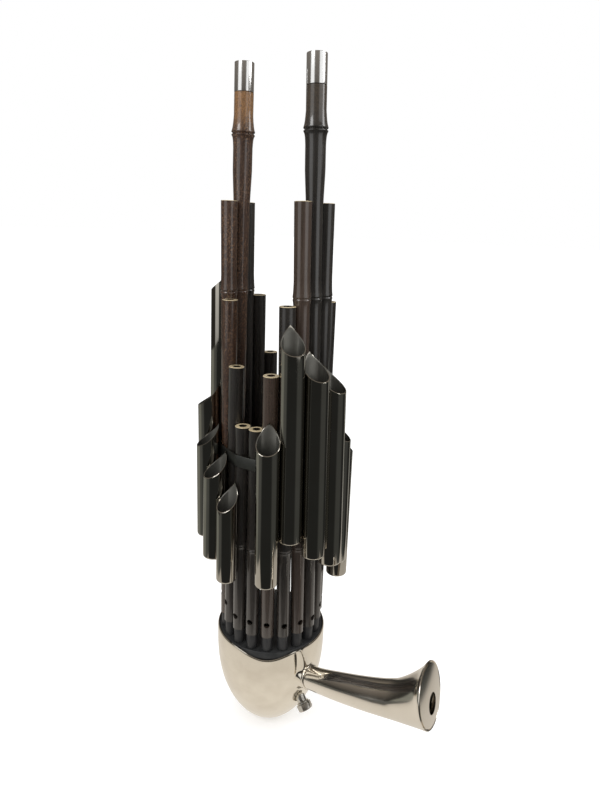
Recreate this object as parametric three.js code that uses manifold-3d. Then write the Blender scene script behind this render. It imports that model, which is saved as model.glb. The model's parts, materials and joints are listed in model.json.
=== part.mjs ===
import * as THREE from 'three';
import { mergeVertices } from 'three/addons/utils/BufferGeometryUtils.js';
import Module from 'manifold-3d';

// A sheng mouth organ, in millimetres, Z up. The origin is the centre of the flat face under
// the wind bowl, and +X is the way the mouthpiece points. Heights of pipes, feet, hoop and
// resonator tubes are measured up from the top face of the plate that closes the bowl.

const wasm = await Module();
wasm.setup();

// Fits and cuts
const fit = 0.3;
const cutOverrun = 2;
const weldDistance = 1e-4;

// Pipe ring
const pipeSlots = 19;
const ringTurn = 5;
const firstPipeAngle = 127.9;
const pipeGap = 0.56;
const slotAngle = 360 / pipeSlots;

// Pipe outline: radii from the foot to the tip, and the heights of the bamboo's nodes
const pipeSides = 10;
const pipeBottom = 11.5;
const pipeBore = 2.6;
const footEndRadius = 4.6;
const lowerRadius = 4.75;
const lowNodeRadius = 5.2;
const middleRadius = 4.95;
const upperRadius = 5.15;
const midNodeRadius = 5.5;
const crownRadius = 5.3;
const tallRadius = 6.1;
const highNodeRadius = 7.1;
const tipRadius = 6;
const lowNodeHeight = 78.5;
const midNodeHeight = 245.5;
const highNodeDrop = 30;
const nodeReach = 2.5;
const tallBambooTop = 372;
const riseAboveNode = 55.5;
const cutBelowNode = 5;
const fourthLevelTop = 199;
const fifthLevelTop = 162;
const tallShares = { crown: 0.575, swell: 0.76 };

// Finger holes
const fingerHoleRadius = 2.1;
const fingerHoleHeight = 22;
const fingerHoleSides = 8;

// End sleeves of the two tallest pipes
const sleeveRise = 9;
const sleeveLength = 16.5;
const sleeveWall = 0.6;
const sleeveSides = 16;

// Reed feet
const footSides = 10;
const footBodyRadius = 3.75;
const footShankRadius = 3.25;
const footEndShankRadius = 2.9;
const footDepth = 28;
const footBore = 1.3;
const footBoreFloor = 2;
const socketDepth = 4;
const reedLength = 14;
const reedWidth = 3.2;
const reedThickness = 0.5;
const reedEndMargin = 3;
const reedSeatOffset = 2;
const reedSlitWidth = 0.35;
const tongueLength = 11;
const tongueWidth = 1.5;

// Hoop round the pipes
const hoopBottom = 135.6;
const hoopHeight = 7.9;
const hoopThickness = 0.7;
const hoopPlay = 0.03;
const hoopArcSteps = 16;

// Resonator tubes
const tubeSides = 12;
const tubeRadius = 7.5;
const wideTubeRadius = 8;
const slimTubeRadius = 6.8;
const tubeWall = 0.6;
const tubeGap = 0.56;
const tubeCorner = 1.5;
const scoopHeight = 16.5;
const scoopPullShare = { across: 0, down: 0.5 };
const scoopSteps = 7;
const saddleCount = 2;
const saddleLow = 10;
const saddlePitch = 16;
const saddleHeight = 7;
const saddleWidth = 4;

// Wind bowl
const bowlSides = 32;
const bowlMargin = 6.7;
const bowlWall = 1;
const equatorHeight = 66.6;
const rimRise = 5.2;
const rimDraw = 1.2;
const restRadius = 15;
const bowlPowers = { height: 2.22, radius: 1.79 };
const bowlSteps = 9;
const bowlStepPower = 1.5;
const rimSteps = 3;

// Top plate
const flangeThickness = 4.9;
const spigotDepth = 4;
const flangeTaper = 0.5;

// Neck, its fin and its collar
const neckAngle = -11;
const neckYaw = -7;
const neckTilt = 13.6;
const neckStandOff = 5.2;
const neckHeight = 53.4;
const neckRadius = 8;
const neckInsideShare = 0.25;
const neckSides = 20;
const collarThickness = 1.6;
const collarRadius = 8.7;
const finTopAngle = -20;
const dipAngle = -57;
const dipHalfAngle = 38;
const leafThickness = 0.9;
const leafDepth = 3.6;
const leafSteps = 48;
const finRows = [
  { heightShare: 0.08, widthShare: 0.95, reachShare: 0.5 },
  { heightShare: 0.26, widthShare: 0.78, reachShare: 0.62 },
  { heightShare: 0.36, widthShare: 0.68, reachShare: 0.55 },
  { heightShare: 0.5, widthShare: 0.56, reachShare: 0.46 },
  { heightShare: 0.7, widthShare: 0.43, reachShare: 0.33 },
  { heightShare: 0.86, widthShare: 0.34, reachShare: 0.22 },
  { heightShare: 1, widthShare: 0.28, reachShare: 0.1 },
];
const finSection = [
  { reachShare: 0.5, widthShare: 0.72 },
  { reachShare: 1, widthShare: 0.32 },
];

// Mouthpiece
const mouthpieceSides = 20;
const mouthpieceLength = 93.5;
const mouthpieceTurn = 14;
const mouthpieceWall = 0.8;
const tenonRadius = 6;
const tenonLength = 5;
const mouthRadius = 20.3;
const mouthBead = 0.7;
const flareShares = [
  { along: 0.105, out: 0.035 },
  { along: 0.275, out: 0.115 },
  { along: 0.445, out: 0.187 },
  { along: 0.615, out: 0.268 },
  { along: 0.7, out: 0.325 },
  { along: 0.765, out: 0.39 },
  { along: 0.84, out: 0.53 },
  { along: 0.915, out: 0.71 },
  { along: 0.965, out: 0.86 },
  { along: 0.99, out: 0.965 },
];
const mouthRecess = 1.1;
const mouthLedge = 1.1;
const mouthPlateThickness = 0.8;
const mouthPlateDome = 0.9;
const mouthPlateSides = 32;
const blowHoleRadius = 6.6;
const blowHoleDrop = 5.4;
const blowHoleSides = 20;

// Drain plug
const plugAngle = -8.6;
const plugDrop = 48;
const plugHeight = 27.9;
const bossLength = 2.9;
const bossRadius = 3.5;
const bossSides = 16;
const plugThreadRadius = 2.2;
const plugThreadLength = 6.8;
const plugHeadRadius = 5.5;
const plugHeadLength = 5;
const plugHeadFlats = 6;
const plugEdge = 0.6;
const washerRadius = 4.5;
const washerThickness = 0.8;

// Sizes that follow from those above
const halfSlotSine = Math.sin(Math.PI / pipeSlots);
const ringRadius = (lowNodeRadius + pipeGap / 2) / halfSlotSine;
const bowlRadius = ringRadius + bowlMargin;
const rimRadius = bowlRadius - rimDraw;
const rimHeight = equatorHeight + rimRise;
const plateTop = rimHeight + fit + flangeThickness;
const spigotRadius = rimRadius - bowlWall - fit;
const hoopInset = middleRadius + fit + hoopPlay;
const neckReach = bowlRadius + neckStandOff;
const highNodeHeight = tallBambooTop - highNodeDrop;
const sleeveTop = tallBambooTop + sleeveRise;
const sleeveBottom = sleeveTop - sleeveLength;
const sleeveBore = tipRadius - sleeveWall;
const levelTops = {
  second: midNodeHeight + riseAboveNode,
  third: midNodeHeight - cutBelowNode,
  fourth: fourthLevelTop,
  fifth: fifthLevelTop,
};
const rad = THREE.MathUtils.degToRad;

// Each pipe in turn from the gap in the ring, with its length, its lean towards +X and +Y of
// the ring in degrees, the height of its finger hole as a share and its resonator tube, whose
// mouth and bottom are shares of the height of the sleeves. A hole faces out unless inward.
const pipes = [
  { level: 'fourth', lean: [-1.55, 0.59] },
  { level: 'third', lean: [-0.45, -0.06], tube: { mouthShare: 0.499, bottomShare: 0.158 } },
  { level: 'second', lean: [-0.12, -0.14], tube: { mouthShare: 0.562, bottomShare: 0.207 } },
  { level: 'first', lean: [0.82, -0.13], tube: { mouthShare: 0.681, bottomShare: 0.262 } },
  { level: 'second', lean: [0.03, -0.28], tube: { mouthShare: 0.48, bottomShare: 0.18 } },
  { level: 'third', lean: [0.31, -0.02], holeShare: 1.24, tube: { mouthShare: 0.417, bottomShare: 0.2 } },
  { level: 'fourth', lean: [0.61, 0.55], holeShare: 1.21, tube: { mouthShare: 0.373, bottomShare: 0.175 } },
  {
    level: 'fifth', lean: [0.35, 0.08],
    tube: { radius: slimTubeRadius, mouthShare: 0.326, bottomShare: 0.146 },
  },
  { level: 'fifth', lean: [0.29, 0.01] },
  { level: 'fourth', lean: [0.46, -1.51], tube: { mouthShare: 0.449, bottomShare: 0.162 } },
  { level: 'third', lean: [-0.69, -0.57], holeShare: 0.93, tube: { mouthShare: 0.605, bottomShare: 0.241 } },
  {
    level: 'second', lean: [-1.28, -0.32], holeShare: 0.91,
    tube: { radius: wideTubeRadius, mouthShare: 0.561, bottomShare: 0.208 },
  },
  {
    level: 'first', lean: [-1.58, -0.18], holeShare: 0.83,
    tube: { radius: wideTubeRadius, mouthShare: 0.534, bottomShare: 0.178 },
  },
  { level: 'second', lean: [-1.05, -0.11], tube: { mouthShare: 0.437, bottomShare: 0.16 } },
  { level: 'third', lean: [-0.5, 0], tube: { mouthShare: 0.403, bottomShare: 0.108 } },
  { level: 'fourth', lean: [-0.3, 0.1], inward: true },
  { level: 'fifth', lean: [-0.2, 0], inward: true },
];

// Materials
const metal = (color, roughness) => new THREE.MeshStandardMaterial({ color, roughness, metalness: 1 });
const bamboo = (color) => new THREE.MeshStandardMaterial({ color, roughness: 0.4, metalness: 0 });
const nickel = metal('#d9cfc0', 0.16);
const sleeveSilver = metal('#c9c9c9', 0.25);
const darkNickel = metal('#5a5850', 0.2);
const hoopSteel = metal('#4a4b47', 0.4);
const blackBamboo = bamboo('#1b1512');
const brownBamboo = bamboo('#3a1d12');
const redBamboo = bamboo('#5b2e1c');
const blackPlate = new THREE.MeshStandardMaterial({ color: '#26282a', roughness: 0.5, metalness: 0 });
const blackFoot = new THREE.MeshStandardMaterial({ color: '#2a2c2d', roughness: 0.45, metalness: 0 });

// Solids and geometries

function solidOf(geometry) {
  const bare = geometry.clone();
  bare.deleteAttribute('normal');
  bare.deleteAttribute('uv');
  const merged = mergeVertices(bare, weldDistance);
  const index = merged.index.array;
  const kept = [];
  for (let i = 0; i < index.length; i += 3) {
    const [a, b, c] = [index[i], index[i + 1], index[i + 2]];
    if (a !== b && b !== c && c !== a) kept.push(a, b, c);
  }
  const vertProperties = new Float32Array(merged.attributes.position.array);
  return new wasm.Manifold(new wasm.Mesh({ numProp: 3, vertProperties, triVerts: new Uint32Array(kept) }));
}

function geometryOf(solid) {
  const mesh = solid.getMesh();
  const geometry = new THREE.BufferGeometry();
  geometry.setAttribute('position', new THREE.BufferAttribute(new Float32Array(mesh.vertProperties), 3));
  geometry.setIndex(new THREE.BufferAttribute(new Uint32Array(mesh.triVerts), 1));
  geometry.computeVertexNormals();
  return geometry;
}

// A turned body round Z from [radius, height] pairs, outside going up first.
function turned(profile, sides) {
  const points = profile.map(([radius, height]) => new THREE.Vector2(radius, height));
  return new THREE.LatheGeometry(points, sides).rotateX(Math.PI / 2);
}

// A turned body round X from [radius, distance] pairs.
function turnedAlongX(profile, sides) {
  return turned(profile, sides).rotateY(Math.PI / 2);
}

function ring(inner, outer, from, to, sides) {
  return turned([[outer, from], [outer, to], [inner, to], [inner, from], [outer, from]], sides);
}

function rod(radius, from, to, sides) {
  return turned([[0, from], [radius, from], [radius, to], [0, to]], sides);
}

function rodAlongX(radius, from, to, sides) {
  return rod(radius, from, to, sides).rotateY(Math.PI / 2);
}

function boxBetween(low, high) {
  const size = high.map((value, axis) => value - low[axis]);
  const middle = high.map((value, axis) => (value + low[axis]) / 2);
  return new THREE.BoxGeometry(...size).translate(...middle);
}

// A closed skin over rows of points, each row a closed loop of the same count.
function loft(rows) {
  const count = rows[0].length;
  const last = rows.length - 1;
  const positions = rows.flat(2);
  const index = [];
  for (let row = 0; row < last; row += 1) {
    for (let i = 0; i < count; i += 1) {
      const a = row * count + i;
      const b = row * count + ((i + 1) % count);
      index.push(a, b, b + count, a, b + count, a + count);
    }
  }
  for (let i = 1; i < count - 1; i += 1) {
    index.push(0, i + 1, i, last * count, last * count + i, last * count + i + 1);
  }
  const geometry = new THREE.BufferGeometry();
  geometry.setAttribute('position', new THREE.Float32BufferAttribute(positions, 3));
  geometry.setIndex(index);
  return geometry;
}

function polar(radius, degrees, height, aside = 0) {
  const angle = rad(degrees);
  const x = radius * Math.cos(angle) - aside * Math.sin(angle);
  const y = radius * Math.sin(angle) + aside * Math.cos(angle);
  return [x, y, height];
}

function addPiece(parent, name, geometry, material) {
  const mesh = new THREE.Mesh(geometry, material);
  mesh.name = name;
  parent.add(mesh);
  return mesh;
}

function numbered(name, index) {
  return `${name}_${String(index + 1).padStart(2, '0')}`;
}

// Wind bowl

// The reach below the equator at which the bowl's curve would close, set so that the curve has
// the radius of the flat rest at height zero.
function bowlReach() {
  const closing = 1 - (restRadius / bowlRadius) ** bowlPowers.radius;
  return equatorHeight / closing ** (1 / bowlPowers.height);
}

function lowerBowlRadius(height, radius, reach) {
  const depth = (equatorHeight - height) / reach;
  return radius * (1 - depth ** bowlPowers.height) ** (1 / bowlPowers.radius);
}

function bowlOutline(wall) {
  const reach = bowlReach() - wall;
  const outline = [];
  for (let step = 0; step <= bowlSteps; step += 1) {
    const rise = step / bowlSteps;
    const height = wall + (equatorHeight - wall) * rise ** bowlStepPower;
    outline.push([lowerBowlRadius(height, bowlRadius - wall, reach), height]);
  }
  for (let step = 1; step <= rimSteps; step += 1) {
    const rise = step / rimSteps;
    outline.push([bowlRadius - wall - rimDraw * rise ** 2, equatorHeight + rimRise * rise]);
  }
  return outline;
}

const neckFrame = new THREE.Object3D();
neckFrame.position.set(...polar(neckReach, neckAngle, neckHeight));
neckFrame.rotation.set(0, -rad(neckTilt), rad(neckYaw), 'ZYX');
neckFrame.updateMatrix();

const plugFrame = new THREE.Object3D();
const plugSeatRadius = lowerBowlRadius(plugHeight, bowlRadius, bowlReach());
plugFrame.position.set(...polar(plugSeatRadius, plugAngle, plugHeight));
plugFrame.rotation.set(0, rad(plugDrop), rad(plugAngle), 'ZYX');
plugFrame.updateMatrix();

// The fin runs from the neck up to the rim, narrowing as it rises.
function finGeometry() {
  const rows = finRows.map(({ heightShare, widthShare, reachShare }) => {
    const height = THREE.MathUtils.lerp(neckHeight, plateTop, heightShare);
    const angle = THREE.MathUtils.lerp(neckAngle, finTopAngle, heightShare);
    const root = height > rimHeight - fit ? rimRadius + fit + leafThickness / 2 : bowlRadius - bowlWall / 2;
    const reach = bowlRadius + neckStandOff * reachShare - root;
    const width = neckRadius * widthShare;
    const side = finSection.map((point) => [root + reach * point.reachShare, width * point.widthShare]);
    const half = [[root, width], ...side];
    const right = half.map(([radius, aside]) => polar(radius, angle, height, -aside));
    const left = half.map(([radius, aside]) => polar(radius, angle, height, aside)).reverse();
    return [...right, ...left];
  });
  return loft(rows);
}

// The rim stands to the plate's top face all round, as a thin leaf outside the plate, but for a
// dip at the front, in the middle of which the leaf is left open.
function leafGeometry() {
  const inner = rimRadius + fit;
  const outer = inner + leafThickness;
  const foot = rimHeight - leafDepth;
  const rows = [];
  for (let step = 0; step < leafSteps; step += 1) {
    const swing = (360 * (step + 0.5)) / leafSteps;
    const share = Math.min(1, Math.min(swing, 360 - swing) / dipHalfAngle);
    const top = THREE.MathUtils.lerp(rimHeight, plateTop, Math.sin((Math.PI / 2) * share) ** 2);
    const angle = dipAngle + swing;
    rows.push([
      polar(inner, angle, foot),
      polar(inner, angle, top),
      polar(outer, angle, top),
      polar(outer, angle, foot),
    ]);
  }
  return loft(rows);
}

function bowlGeometry() {
  const outline = bowlOutline(0);
  const outer = solidOf(turned([[0, 0], ...outline, [0, rimHeight]], bowlSides));
  const hollow = bowlOutline(bowlWall);
  const mouth = hollow[hollow.length - 1][0];
  const open = rimHeight + cutOverrun;
  const cavity = solidOf(turned([[0, bowlWall], ...hollow, [mouth, open], [0, open]], bowlSides));
  const neckEnd = -collarThickness - 2 * fit;
  const neckInside = -neckReach * neckInsideShare;
  const neck = rodAlongX(neckRadius, neckInside, neckEnd, neckSides).applyMatrix4(neckFrame.matrix);
  const bore = rodAlongX(tenonRadius + fit, neckInside - cutOverrun, cutOverrun, neckSides);
  bore.rotateX(Math.PI / neckSides);
  const collarSeat = rodAlongX(collarRadius + fit, neckEnd - fit, neckReach, neckSides);
  const boss = rodAlongX(bossRadius, -plugThreadLength, bossLength, bossSides);
  const bossBore = rodAlongX(plugThreadRadius + fit, -plugThreadLength - cutOverrun,
    bossLength + cutOverrun, bossSides);
  bossBore.rotateX(Math.PI / bossSides);
  return geometryOf(outer
    .add(solidOf(finGeometry()))
    .subtract(solidOf(collarSeat.applyMatrix4(neckFrame.matrix)))
    .add(solidOf(neck))
    .add(solidOf(boss.applyMatrix4(plugFrame.matrix)))
    .subtract(cavity)
    .add(solidOf(leafGeometry()))
    .subtract(solidOf(bore.applyMatrix4(neckFrame.matrix)))
    .subtract(solidOf(bossBore.applyMatrix4(plugFrame.matrix))));
}

// Top plate: a flange over the rim and a spigot in it, bored for the feet.
function plateGeometry() {
  const flangeBottom = plateTop - flangeThickness;
  const spigotBottom = flangeBottom - spigotDepth;
  const blank = turned([
    [0, spigotBottom], [spigotRadius, spigotBottom], [spigotRadius, flangeBottom],
    [rimRadius, flangeBottom], [rimRadius - flangeTaper, plateTop], [0, plateTop],
  ], bowlSides);
  let plate = solidOf(blank);
  for (let slot = 0; slot < pipes.length; slot += 1) {
    const angle = pipeAngle(slot) + ringTurn;
    const hole = rod(footShankRadius + fit, spigotBottom - cutOverrun, plateTop + cutOverrun, footSides);
    hole.rotateZ(rad(angle)).translate(...polar(ringRadius, angle, 0));
    plate = plate.subtract(solidOf(hole));
  }
  return geometryOf(plate);
}

// Mouthpiece: a flared tube whose underside stays straight while its axis turns aside.

function mouthpieceRadius(distance) {
  const spots = [{ along: 0, out: 0 }, ...flareShares, { along: 1, out: 1 }];
  const along = THREE.MathUtils.clamp(distance / mouthpieceLength, 0, 1);
  const next = Math.max(1, spots.findIndex((spot) => spot.along >= along));
  const [low, high] = [spots[next - 1], spots[next]];
  const share = (along - low.along) / (high.along - low.along);
  return neckRadius + (mouthRadius - neckRadius) * THREE.MathUtils.lerp(low.out, high.out, share);
}

// Moves a body that was turned round X onto the mouthpiece's curved axis.
function bendAlongMouthpiece(geometry, liftAt) {
  const bendRadius = mouthpieceLength / rad(mouthpieceTurn);
  const position = geometry.attributes.position;
  for (let i = 0; i < position.count; i += 1) {
    const along = position.getX(i);
    const aside = position.getY(i);
    const turn = Math.max(0, along) / bendRadius;
    const straight = Math.min(0, along);
    const x = straight + bendRadius * Math.sin(turn) - aside * Math.sin(turn);
    const y = bendRadius * (1 - Math.cos(turn)) + aside * Math.cos(turn);
    position.setXYZ(i, x, y, position.getZ(i) + liftAt(along));
  }
  return geometry;
}

function mouthpieceGeometry() {
  const flare = flareShares.map(({ along }) => along * mouthpieceLength);
  const outside = [[tenonRadius, -tenonLength], [tenonRadius, 0], [neckRadius, 0]];
  flare.forEach((distance) => outside.push([mouthpieceRadius(distance), distance]));
  const tip = mouthpieceLength + mouthBead;
  outside.push([mouthRadius, mouthpieceLength], [mouthRadius - mouthBead / 2, tip]);
  const recessFloor = tip - mouthRecess;
  const recessRadius = mouthRadius - mouthpieceWall - mouthBead / 2;
  const inside = [[recessRadius, tip], [recessRadius, recessFloor], [recessRadius - mouthLedge, recessFloor]];
  const inner = flare.filter((distance) => mouthpieceRadius(distance) < recessRadius - mouthLedge);
  inner.reverse().forEach((distance) => inside.push([mouthpieceRadius(distance) - mouthpieceWall, distance]));
  inside.push([tenonRadius - mouthpieceWall, 0], [tenonRadius - mouthpieceWall, -tenonLength]);
  const profile = [...outside, ...inside, outside[0]];
  const body = turnedAlongX(profile, mouthpieceSides);
  return bendAlongMouthpiece(body, (distance) => mouthpieceRadius(distance) - neckRadius);
}

// Mouth plate: a slightly domed disc with its blow hole low in it.
function mouthPlateGeometry() {
  const back = mouthpieceLength + mouthBead - mouthRecess + fit;
  const radius = mouthRadius - mouthpieceWall - mouthBead / 2 - fit;
  const rise = (share) => mouthPlateDome * (1 - share ** 2);
  const shares = [0.4, 0.75, 1];
  const under = shares.map((share) => [radius * share, back + rise(share)]);
  const over = shares.map((share) => [radius * share, back + mouthPlateThickness + rise(share)]).reverse();
  const profile = [[0, back + mouthPlateDome], ...under, ...over,
    [0, back + mouthPlateThickness + mouthPlateDome]];
  const hole = rodAlongX(blowHoleRadius, back - cutOverrun, back + mouthPlateThickness + mouthPlateDome
    + cutOverrun, blowHoleSides).translate(0, 0, -blowHoleDrop);
  const disc = solidOf(turnedAlongX(profile, mouthPlateSides)).subtract(solidOf(hole));
  return bendAlongMouthpiece(geometryOf(disc), () => mouthRadius - neckRadius);
}

function collarGeometry() {
  const [from, to] = [-collarThickness - fit, -fit];
  const crown = collarThickness / 4;
  const inner = tenonRadius + fit;
  return turnedAlongX([
    [collarRadius - crown, from], [collarRadius, from + crown], [collarRadius, to - crown],
    [collarRadius - crown, to], [inner, to], [inner, from], [collarRadius - crown, from],
  ], neckSides);
}

// Drain plug and washer, along X from the bowl's surface outwards.

const washerStart = bossLength + fit;
const headStart = washerStart + washerThickness + fit;

function plugGeometry() {
  const tip = headStart - plugThreadLength;
  const end = headStart + plugHeadLength;
  const head = turnedAlongX([
    [0, headStart], [plugHeadRadius, headStart], [plugHeadRadius, end - plugEdge],
    [plugHeadRadius - plugEdge, end], [0, end],
  ], plugHeadFlats);
  const thread = rodAlongX(plugThreadRadius, tip, headStart + plugEdge, bossSides);
  return geometryOf(solidOf(head).add(solidOf(thread)));
}

function washerGeometry() {
  const inner = plugThreadRadius + fit;
  return ring(inner, washerRadius, washerStart, washerStart + washerThickness, bossSides)
    .rotateY(Math.PI / 2);
}

// Pipes

function pipeAngle(slot) {
  return firstPipeAngle + slot * slotAngle;
}

function pipeTop({ level }) {
  return levelTops[level] ?? tallBambooTop;
}

// [radius, height] pairs up the outside of a pipe of the given top.
function pipeOutline(top) {
  const outline = [
    [footEndRadius, pipeBottom],
    [lowerRadius, lowNodeHeight - nodeReach],
    [lowNodeRadius, lowNodeHeight],
    [middleRadius, lowNodeHeight + nodeReach],
  ];
  if (top < midNodeHeight) {
    const rise = (top - lowNodeHeight) / (midNodeHeight - lowNodeHeight);
    outline.push([THREE.MathUtils.lerp(middleRadius, upperRadius, rise), top]);
    return outline;
  }
  outline.push(
    [upperRadius, midNodeHeight - nodeReach],
    [midNodeRadius, midNodeHeight],
    [upperRadius, midNodeHeight + nodeReach],
  );
  if (top < highNodeHeight) {
    outline.push([crownRadius, top]);
    return outline;
  }
  const span = highNodeHeight - midNodeHeight;
  outline.push(
    [crownRadius, midNodeHeight + span * tallShares.crown],
    [tallRadius, midNodeHeight + span * tallShares.swell],
    [tallRadius, highNodeHeight - 2 * nodeReach],
    [highNodeRadius, highNodeHeight],
    [tipRadius, highNodeHeight + 2 * nodeReach],
    [tipRadius, sleeveBottom - fit],
    [sleeveBore - fit, sleeveBottom - fit],
    [sleeveBore - fit, top],
  );
  return outline;
}

function radiusBetween(outline, from, to) {
  let widest = 0;
  for (let i = 1; i < outline.length; i += 1) {
    const [[lowRadius, low], [highRadius, high]] = [outline[i - 1], outline[i]];
    for (const height of [from, to, low, high]) {
      if (height >= Math.max(low, from) && height <= Math.min(high, to)) {
        const share = (height - low) / (high - low);
        widest = Math.max(widest, THREE.MathUtils.lerp(lowRadius, highRadius, share));
      }
    }
  }
  return widest;
}

function pipeGeometry(pipe) {
  const top = pipeTop(pipe);
  const outline = pipeOutline(top);
  const profile = [...outline, [pipeBore, top], [pipeBore, pipeBottom], outline[0]];
  const height = fingerHoleHeight * (pipe.holeShare ?? 1);
  const hole = rodAlongX(fingerHoleRadius, 0, footEndRadius + cutOverrun, fingerHoleSides);
  if (pipe.inward) hole.rotateZ(Math.PI);
  hole.translate(0, 0, height);
  const body = solidOf(turned(profile, pipeSides)).subtract(solidOf(hole));
  return geometryOf(body).translate(0, 0, -pipeBottom);
}

function sleeveGeometry() {
  return ring(sleeveBore, tipRadius, sleeveBottom, sleeveTop, sleeveSides).translate(0, 0, -pipeBottom);
}

// Reed foot: a tenon in the pipe, a body on the plate and a bored shank through it, whose flat
// inner face carries the reed over its slot.
function footGeometry() {
  const bodyTop = pipeBottom - fit;
  const tenonTop = pipeBottom + socketDepth;
  const tenon = pipeBore - fit;
  const blank = solidOf(turned([
    [0, -footDepth], [footEndShankRadius, -footDepth], [footShankRadius, fit], [footBodyRadius, fit],
    [footBodyRadius, bodyTop], [tenon, bodyTop], [tenon, tenonTop], [0, tenonTop],
  ], footSides));
  const bore = rod(footBore, footBoreFloor - footDepth, tenonTop + cutOverrun, footSides);
  const reedBottom = reedEndMargin - footDepth;
  const reedTop = reedBottom + reedLength;
  const flat = boxBetween(
    [-footShankRadius - cutOverrun, -footShankRadius, reedBottom],
    [-reedSeatOffset, footShankRadius, reedTop],
  );
  const reed = boxBetween(
    [-reedSeatOffset - reedThickness, -reedWidth / 2, reedBottom],
    [-reedSeatOffset + reedThickness, reedWidth / 2, reedTop],
  );
  return geometryOf(blank
    .subtract(solidOf(flat))
    .add(solidOf(reed))
    .subtract(solidOf(reedSlitGeometry(reedBottom)))
    .subtract(solidOf(bore)));
}

// The slit that frees the reed's tongue: two long sides and one end, cut into the bore.
function reedSlitGeometry(reedBottom) {
  const margin = (reedLength - tongueLength) / 2;
  const [bottom, top] = [reedBottom + margin, reedBottom + margin + tongueLength];
  const [inner, outer] = [tongueWidth / 2, tongueWidth / 2 + reedSlitWidth];
  const shape = new THREE.Shape();
  shape.moveTo(-outer, top);
  shape.lineTo(-outer, bottom);
  shape.lineTo(outer, bottom);
  shape.lineTo(outer, top);
  shape.lineTo(inner, top);
  shape.lineTo(inner, bottom + reedSlitWidth);
  shape.lineTo(-inner, bottom + reedSlitWidth);
  shape.lineTo(-inner, top);
  shape.closePath();
  const depth = reedSeatOffset + reedThickness + cutOverrun;
  return new THREE.ExtrudeGeometry(shape, { depth, bevelEnabled: false })
    .rotateX(Math.PI / 2)
    .rotateZ(-Math.PI / 2)
    .translate(-depth, 0, 0);
}

// Resonator tube of one pipe, along the pipe and outside it.

function tubeOffset(radius) {
  const besideNeighbours = (radius + tubeGap / 2) / halfSlotSine - ringRadius;
  const besideHoop = hoopInset + hoopThickness + 2 * fit + radius;
  return Math.max(besideNeighbours, besideHoop);
}

function tubeGeometry(pipe) {
  const { radius = tubeRadius, mouthShare, bottomShare } = pipe.tube;
  const top = sleeveTop * mouthShare;
  const bottom = sleeveTop * bottomShare;
  const offset = tubeOffset(radius);
  const inner = radius - tubeWall;
  const wall = solidOf(turned([
    [0, bottom], [radius - tubeCorner, bottom], [radius, bottom + tubeCorner], [radius, top],
    [inner, top], [inner, bottom + tubeCorner], [inner - tubeCorner + tubeWall, bottom + tubeWall],
    [0, bottom + tubeWall],
  ], tubeSides));
  let body = wall.subtract(solidOf(scoopGeometry(radius, top)));
  const outline = pipeOutline(pipeTop(pipe));
  for (let saddle = 0; saddle < saddleCount; saddle += 1) {
    const from = bottom + saddleLow + saddle * saddlePitch;
    const to = from + saddleHeight;
    const pipeSide = radiusBetween(outline, from, to) + fit - offset;
    const block = boxBetween(
      [pipeSide, -saddleWidth / 2, from],
      [tubeWall / 2 - radius, saddleWidth / 2, to],
    );
    body = body.add(solidOf(block));
  }
  return geometryOf(body).translate(offset, 0, -pipeBottom);
}

// What the scoop takes off the tube: all above a hollow curve from the tip down to the lip.
function scoopGeometry(radius, top) {
  const lip = top - scoopHeight;
  const shape = new THREE.Shape();
  shape.moveTo(-radius - cutOverrun, top + cutOverrun);
  shape.lineTo(-radius, top);
  shape.quadraticCurveTo(
    -radius + 2 * radius * scoopPullShare.across,
    top - scoopHeight * scoopPullShare.down,
    radius,
    lip,
  );
  shape.lineTo(radius + cutOverrun, lip);
  shape.lineTo(radius + cutOverrun, top + cutOverrun);
  shape.closePath();
  const depth = 2 * (radius + cutOverrun);
  const options = { depth, bevelEnabled: false, curveSegments: scoopSteps };
  return new THREE.ExtrudeGeometry(shape, options).rotateX(Math.PI / 2).translate(0, depth / 2, 0);
}

// Hoop: a flat band drawn tight round the pipes as they stand at its height.

function pipeCentreAt(slot, height) {
  const [x, y] = polar(ringRadius, pipeAngle(slot), 0);
  const [leanX, leanY] = pipes[slot].lean;
  const rise = height - pipeBottom;
  return [x + rise * Math.tan(rad(leanX)), y + rise * Math.tan(rad(leanY))];
}

function hullOf(points) {
  const sorted = [...points].sort((a, b) => a.x - b.x || a.y - b.y);
  const cross = (o, a, b) => (a.x - o.x) * (b.y - o.y) - (a.y - o.y) * (b.x - o.x);
  const chain = (list) => {
    const kept = [];
    for (const point of list) {
      while (kept.length > 1 && cross(kept.at(-2), kept.at(-1), point) <= 0) kept.pop();
      kept.push(point);
    }
    return kept.slice(0, -1);
  };
  return [...chain(sorted), ...chain(sorted.reverse())];
}

function hoopLoop(distance) {
  const height = hoopBottom + hoopHeight / 2;
  const points = [];
  for (let slot = 0; slot < pipes.length; slot += 1) {
    const [x, y] = pipeCentreAt(slot, height);
    for (let step = 0; step < hoopArcSteps; step += 1) {
      const angle = rad(pipeAngle(slot)) + (2 * Math.PI * step) / hoopArcSteps;
      points.push(new THREE.Vector2(x + distance * Math.cos(angle), y + distance * Math.sin(angle)));
    }
  }
  return hullOf(points);
}

function hoopGeometry() {
  const shape = new THREE.Shape(hoopLoop(hoopInset + hoopThickness));
  shape.holes.push(new THREE.Path(hoopLoop(hoopInset)));
  return new THREE.ExtrudeGeometry(shape, { depth: hoopHeight, bevelEnabled: false })
    .translate(0, 0, hoopBottom);
}

// Assembly

const sheng = new THREE.Group();
addPiece(sheng, 'bowl', bowlGeometry(), nickel);
addPiece(sheng, 'top_plate', plateGeometry(), blackPlate);

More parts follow.
